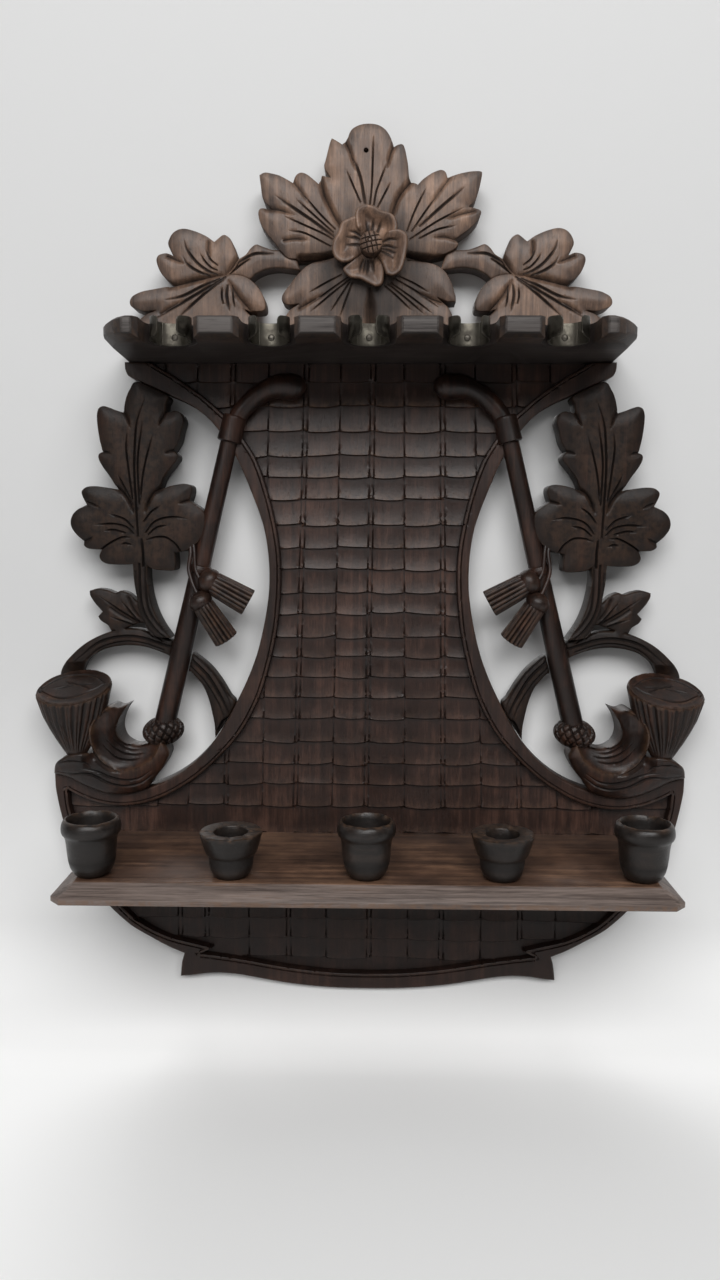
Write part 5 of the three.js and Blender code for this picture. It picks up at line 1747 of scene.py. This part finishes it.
# %% [markdown]
# Two tassels hang from cords tied round the stem. Each has a smooth round cap like an acorn's and a flared
# skirt cut into flutes; its end is cut off square.

# %% Tassels
TASSELS = {
    "upper": {"cap": (84.6, -20.5, 3.0), "end": (64.6, -18.5, -8.4), "radius": 6.9, "skirt": (6.5, 7.5)},
    "lower": {"cap": (89.2, -22.6, -7.8), "end": (76.6, -18.5, -28.2), "radius": 6.4, "skirt": (5.9, 6.9)},
}
TASSEL_FLUTES = 15
FLUTE_DEPTH = 1.4
SKIRT_START = 2.8


def tassel(name, shape):
    """A cap and a fluted skirt round one axis."""
    cap, end = np.array(shape["cap"]), np.array(shape["end"])
    length = float(np.linalg.norm(end - cap))
    ahead = (end - cap) / length
    side = np.cross(ahead, (0, 1.0, 0))
    side /= np.linalg.norm(side)
    other = np.cross(ahead, side)
    segments = TASSEL_FLUTES * 8
    angle = np.linspace(0, 2 * math.pi, segments, endpoint=False)
    spokes = np.cos(angle)[:, None] * side + np.sin(angle)[:, None] * other
    flute = 1 - np.abs(np.cos(angle * TASSEL_FLUTES / 2)) ** 0.7
    radius = shape["radius"]
    neck, foot = shape["skirt"]
    profile = [(-radius * 0.86 * math.cos(a), radius * math.sin(a), 0.0) for a in np.linspace(0.1, 1.5, 9)]
    profile += [(1.6, radius * 0.97, 0.0), (2.3, neck * 0.96, 0.0), (SKIRT_START, neck, 0.35)]
    for share in np.linspace(0.2, 1.0, 7):
        profile.append((SKIRT_START + (length - SKIRT_START) * share, neck + (foot - neck) * share, 1.0))
    profile += [(length + 0.3, foot * 0.93, 0.7), (length - 1.6, foot * 0.74, 0.3),
                (length - 2.6, foot * 0.4, 0.0)]
    layers, dirt, wear = [], [], []
    for s, r, depth in profile:
        reach = r - FLUTE_DEPTH * depth * flute
        layers.append(cap + ahead * s + reach[:, None] * spokes)
        dirt += list(depth * flute)
        wear += list(depth * (1 - flute) * 0.4 + 0.1)
    piece = loft(name, np.array(layers))
    dirt[-2 * segments:] = [1.0] * (2 * segments)
    mark(piece, "dirt", [*dirt, 0.0, 1.0])
    mark(piece, "wear", [*wear, 0.2, 0.0])
    smooth(piece, 40.0)
    return piece


for label, shape in TASSELS.items():
    both_sides(tassel(label, shape), f"{label}_tassel_carved", pipe_walnut, [f"{label}_tassel"])

# %% Tassel cords
CORD_RADIUS = 1.1
CORDS = {
    "upper_cord": [(95.0, -14.0, 27.0), (93.3, -17.0, 19.6), (92.3, -18.6, 8.9), (88.8, -20.0, 2.8),
                   (84.0, -20.6, 2.2)],
    "lower_cord": [(96.8, -14.0, 26.0), (95.1, -17.0, 18.4), (95.9, -19.0, 8.9), (93.2, -21.0, 0.5),
                   (90.2, -22.4, -5.0)],
}
for label, path in CORDS.items():
    cord = rod(label, path, [CORD_RADIUS] * len(path), 0.9, 16)
    smooth(cord, 60.0)
    both_sides(cord, label, pipe_walnut)

# %% [markdown]
# The shelves are plain boards with planed edges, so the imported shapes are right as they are. A copy gets
# its doubled points merged, and its sharp edges are rounded a little, because a real edge always catches
# some light.


# %% Shelves
def worked_copy(node, name, width):
    """A packed board with merged points and softened edges."""
    piece = twin(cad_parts[node], name)
    piece.parent = None
    edited(piece, lambda: bpy.ops.mesh.remove_doubles(threshold=0.00002),
           lambda: bpy.ops.mesh.dissolve_limited(angle_limit=math.radians(1.0)))
    soften(piece, width)
    smooth(piece, 30.0)
    return piece


upper_board = worked_copy("upper_shelf", "upper_board", 0.45)
finish(upper_board, shaded_shelf_walnut, nodes=["upper_shelf"])
lower_board = worked_copy("lower_shelf", "lower_board", 0.4)
finish(lower_board, tray_walnut, nodes=["lower_shelf"])

# %% [markdown]
# The cups are turned on a lathe, so a profile is spun round its axis. Two kinds take turns along the shelf: a
# tall cup with a rolled lip, and a stepped socket with a flat top and a bore. The real rims are a little
# chipped, and small dents there keep them from looking cast.

# %% Cups
SHELF_TOP = float(TRAY_HIGH[2])
CUP_Y = -78.0
CUP_X = (-134.3, -66.0, 0.0, 66.0, 134.3)
TALL_CUP = [(0.0, 0.0), (6.2, 0.0), (7.8, 0.6), (9.4, 2.2), (10.6, 4.8), (11.3, 8.0), (11.8, 12.0),
            (12.1, 16.0), (12.4, 18.4), (12.7, 19.6), (13.1, 20.6), (13.9, 21.4), (14.3, 22.6),
            (14.35, 24.2), (14.05, 26.0), (13.5, 27.4), (12.7, 28.3), (12.0, 28.5), (11.5, 27.9),
            (11.1, 25.5), (10.8, 22.0), (10.5, 17.0), (10.1, 11.0), (9.4, 7.6), (8.0, 5.8), (5.0, 5.1),
            (0.0, 5.0)]
SOCKET = [(0.0, 0.0), (7.0, 0.0), (8.1, 0.4), (9.3, 1.8), (10.2, 3.8), (10.7, 7.0), (11.0, 10.4),
          (11.2, 10.8), (12.3, 12.0), (12.8, 13.0), (13.5, 15.2), (14.2, 17.6), (14.8, 20.0),
          (15.2, 21.8), (15.1, 22.3), (14.7, 22.6), (12.0, 22.5), (9.0, 22.3), (8.4, 22.1),
          (8.15, 21.6), (8.05, 18.0), (8.0, 14.2), (7.2, 13.4), (0.0, 13.2)]


BORE = {"reach": 11.6, "floor": 4.9, "below_rim": 0.6}
DENTS = {"count": 9, "least": 0.1, "most": 0.42}


def turned(name, profile, x, seed):
    """Spins a profile about a cup's axis and dents its rim."""
    points = [(x + r, CUP_Y, SHELF_TOP + z) for r, z in profile]
    edges = [(i, i + 1) for i in range(len(points) - 1)]
    cup = new_piece(name, points, [], edges)
    centre = (x * MM, CUP_Y * MM, SHELF_TOP * MM)
    edited(cup, lambda: bpy.ops.mesh.spin(steps=96, angle=2 * math.pi, center=centre, axis=(0, 0, 1)),
           lambda: bpy.ops.mesh.select_all(action="SELECT"),
           lambda: bpy.ops.mesh.remove_doubles(threshold=0.00001), outwards)
    roughen_rim(cup, x, max(z for _, z in profile), seed)
    smooth(cup, 38.0)
    return cup


def roughen_rim(cup, x, top, seed):
    """Small dents along a cup's rim, and marks for wear, and painted shade deeper in the bore and along the
    foot.
    """
    points = np.array([v.co for v in cup.data.vertices]) / MM
    flat = points[:, :2] - np.array([x, CUP_Y])
    angle = np.arctan2(flat[:, 1], flat[:, 0])
    reach = np.linalg.norm(flat, axis=1)
    height = points[:, 2] - SHELF_TOP
    draw = np.random.default_rng(SEED + seed)
    dent = np.zeros(len(points))
    places = draw.uniform(-math.pi, math.pi, DENTS["count"])
    sizes = draw.uniform(DENTS["least"], DENTS["most"], DENTS["count"])
    for where, size in zip(places, sizes):
        away = np.angle(np.exp(1j * (angle - where)))
        dent += size * near(away, draw.uniform(0.06, 0.16))
    near_top = unit((height - top + 1.6) / 1.6)
    points[:, 2] -= dent * near_top
    cup.data.vertices.foreach_set("co", (points * MM).ravel())
    bore = (reach < BORE["reach"]) & (height > BORE["floor"]) & (height < top - BORE["below_rim"])
    # Painted shade: darker deeper in the bore, and along the cup's foot on the shelf.
    mark(cup, "dirt", unit(bore * (top - height) / 14.0 + (height < 1.0) * 0.7))
    mark(cup, "wear", near_top * 0.5 + unit(dent * near_top))


for number, x in enumerate(CUP_X, 1):
    profile = TALL_CUP if number % 2 else SOCKET
    cup = turned(f"turned_cup_{number}", profile, x, 20 + number)
    finish(cup, turned_walnut, nodes=[f"cup_{number}"])

# %% [markdown]
# A clip is one strip of spring steel, bent into a C and nailed in the back of its notch. Its back part is
# fixed. The two arms open when a stem is pushed in, so each arm is a strip of its own that follows the
# fixed part at its root.

# %% Spring clips
CLIP_X = (-93.5, -47.0, 0.0, 47.0, 93.5)
CLIP_CENTRE = (-64.9, 124.0)
CLIP_RADIUS = 9.4
CLIP_SHEET = 0.8
CLIP_HEIGHT = 10.8
CLIP_TILT = math.radians(-4.0)
CLIP_ROOT = 38.0
CLIP_ENDS = (153.0, 151.0, 161.0, 151.0, 154.0)
TONGUE = {"length": 8.0, "narrower": 1.1, "corner": 2.0}
FLARE = {"length": 3.0, "out": 0.5}
BLEND_FROM = 37.0
BLEND_TO = 47.0


def clip_place(x, degrees, up=0.0, radius=CLIP_RADIUS):
    """A point of a clip's strip, by its angle from the back."""
    angle = math.radians(degrees)
    local = Vector((radius * math.sin(angle), radius * math.cos(angle), up))
    local = Matrix.Rotation(CLIP_TILT, 3, "X") @ local
    return Vector((x + local.x, CLIP_CENTRE[0] + local.y, CLIP_CENTRE[1] + local.z))


def strip(name, x, start, stop, free_end):
    """A bent strip with thickness; its free end has rounded corners and turns out a little."""
    columns, rows = max(10, int(abs(stop - start) / 3)), 9
    points, faces = [], []
    for i in range(columns + 1):
        degrees = start + (stop - start) * i / columns
        left = abs(stop - degrees) * math.radians(1) * CLIP_RADIUS
        corner = TONGUE["corner"]
        half = CLIP_HEIGHT / 2
        if free_end:
            half -= TONGUE["narrower"] * max(0.0, 1 - left / TONGUE["length"])
        if free_end and left < corner:
            half -= corner - math.sqrt(max(corner ** 2 - (corner - left) ** 2, 0))
        flare = FLARE["out"] * max(0.0, 1 - left / FLARE["length"]) ** 2 if free_end else 0.0
        for j in range(rows + 1):
            up = half * (2 * j / rows - 1)
            points.append(clip_place(x, degrees, up, CLIP_RADIUS + flare))
    for i in range(columns):
        for j in range(rows):
            a = i * (rows + 1) + j
            faces.append((a, a + rows + 1, a + rows + 2, a + 1))
    piece = new_piece(name, points, faces)
    modifier = piece.modifiers.new("sheet", "SOLIDIFY")
    modifier.thickness = CLIP_SHEET * MM
    modifier.offset = 0.0
    apply_modifiers(piece)
    edited(piece, outwards)
    soften(piece, 0.14, 2, 50.0)
    smooth(piece, 40.0)
    return piece


def make_clip(number, x):
    """The fixed back of a clip and its two arms."""
    back = strip(f"clip_{number}_back", x, -CLIP_ROOT, CLIP_ROOT, False)
    finish(back, tarnished_steel, nodes=[f"clip_{number}_base"])
    for side, sign in (("left", -1), ("right", 1)):
        stop = sign * CLIP_ENDS[number - 1]
        arm = strip(f"clip_{number}_{side}_strip", x, sign * CLIP_ROOT, stop, True)
        finish(arm, tarnished_steel, body=None, nodes=[f"clip_{number}_{side}_arm"])
        start, end = (clip_place(x, sign * angle) * MM for angle in (BLEND_FROM, BLEND_TO))
        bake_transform(arm)


for number, x in enumerate(CLIP_X, 1):
    make_clip(number, x)

# %% [markdown]
# Each clip is held by one nail with a low round head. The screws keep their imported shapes, because only their
# heads show, and only from behind.

# %% Nails and screws
NAIL_RADIUS = 1.6
NAIL_UP = -1.4
NAIL_SUNK = 0.5
NAIL_DOME = 0.42


def nail(number, x):
    """A domed nail head against the clip's back, facing the notch's mouth."""
    bpy.ops.object.select_all(action="DESELECT")
    place = clip_place(x, 0.0, NAIL_UP, CLIP_RADIUS - NAIL_SUNK)
    turn = (math.pi / 2 + CLIP_TILT, 0.0, 0.0)
    bpy.ops.mesh.primitive_uv_sphere_add(segments=28, ring_count=16, radius=NAIL_RADIUS * MM,
                                         location=tuple(place * MM), rotation=turn)
    head = settled(f"nail_head_{number}", (1.0, 1.0, NAIL_DOME))
    smooth(head, 60.0)
    finish(head, dull_iron, nodes=[f"clip_{number}_nail"])


for number, x in enumerate(CLIP_X, 1):
    nail(number, x)
for name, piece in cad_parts.items():
    if "screw" in name:
        piece.data.materials.clear()
        piece.data.materials.append(dull_iron)
print("screws carried over", sum("screw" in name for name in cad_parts))

# %% [markdown]
# The rack hangs in front of a pale wall and just above a pale floor. The wall must not hide the rack from
# behind, so its back is clear to the camera and it casts no shadow. The light is one large soft lamp above
# and in front, as the dark underside of the upper shelf tells, a weak one from the left and one behind the
# rack.

# %% Wall and floor
FLOOR_Z = -254.6
WALL_Y = 2.0
ROOM = {"half": 2600.0, "front": -2600.0, "top": 1500.0, "bend": 60.0}
# The floor is painted paler than the wall, standing in for stronger light low on the backdrop.
WALL_COLOUR = (0.64, 0.64, 0.638)
FLOOR_COLOUR = (0.90, 0.90, 0.895)
WALL_BOUNCE = (0.25, 0.25, 0.25)


def backdrop():
    """Floor and wall in one sheet, with a round bend between them."""
    bend = [(WALL_Y - ROOM["bend"] + ROOM["bend"] * math.sin(a), FLOOR_Z + ROOM["bend"] * (1 - math.cos(a)))
            for a in np.linspace(0, math.pi / 2, 13)]
    profile = [(ROOM["front"], FLOOR_Z), *bend, (WALL_Y, ROOM["top"])]
    points = [(x, y, z) for y, z in profile for x in (-ROOM["half"], ROOM["half"])]
    faces = [(2 * i, 2 * i + 1, 2 * i + 3, 2 * i + 2) for i in range(len(profile) - 1)]
    sheet = new_piece("backdrop", points, faces)
    smooth(sheet, 60.0)
    return sheet


def pale_material():
    """Pale grey paint that is clear from behind and to shadows; the floor is painted paler than the wall, a
    painted brightening low on the backdrop.
    """
    material, place, shader = new_material("pale_wall")
    tree = material.node_tree
    seen = place.node("ShaderNodeLightPath", output="Is Camera Ray")
    mirrored_in = place.node("ShaderNodeLightPath", output="Is Glossy Ray")
    # Painted light: the floor's paler colour stands in for the stronger light low on the backdrop.
    shown = mix(colour(*FLOOR_COLOUR), colour(*WALL_COLOUR), axis(place, "Z").band(FLOOR_Z, FLOOR_Z + 260.0))
    place.link(mix(colour(*WALL_BOUNCE), shown, (seen + mirrored_in).clamp()), shader.inputs["Base Color"])
    shader.inputs["Roughness"].default_value = 0.85
    behind = place.node("ShaderNodeNewGeometry", output="Backfacing")
    path = place.node("ShaderNodeLightPath", output="Is Shadow Ray")
    clear = tree.nodes.new("ShaderNodeBsdfTransparent")
    joint = tree.nodes.new("ShaderNodeMixShader")
    place.link((behind + path).clamp(), joint.inputs[0])
    tree.links.new(shader.outputs[0], joint.inputs[1])
    tree.links.new(clear.outputs[0], joint.inputs[2])
    output = next(n for n in tree.nodes if n.type == "OUTPUT_MATERIAL")
    tree.links.new(joint.outputs[0], output.inputs[0])
    return material


wall = backdrop()
wall.data.materials.append(pale_material())
print("wall and floor", len(wall.data.polygons), "faces")

# %% Lights
ROOM_LIGHT = (0.95, 0.97, 1.0, 1.0)
ROOM_STRENGTH = 0.04


def lamp(name, place, size, power):
    """A soft rectangular lamp aimed at the middle of the rack."""
    data = bpy.data.lights.new(name, "AREA")
    data.shape = "RECTANGLE"
    data.size, data.size_y = size
    data.energy = power
    light = bpy.data.objects.new(name, data)
    bpy.context.scene.collection.objects.link(light)
    light.location = Vector(place)
    light.rotation_euler = (-Vector(place)).to_track_quat("-Z", "Y").to_euler()


lamp("key", (0.1, -1.5, 1.08), (1.8, 1.0), 38.0)
lamp("fill", (-0.7, -1.5, 0.35), (1.0, 0.8), 2.4)
lamp("behind", (-0.4, 1.6, 0.9), (1.2, 1.2), 26.0)
world = bpy.data.worlds.new("room")
bpy.context.scene.world = world
world.use_nodes = True
background = world.node_tree.nodes["Background"]
background.inputs[0].default_value = ROOM_LIGHT
background.inputs[1].default_value = ROOM_STRENGTH
bpy.context.scene.view_settings.view_transform = "Standard"
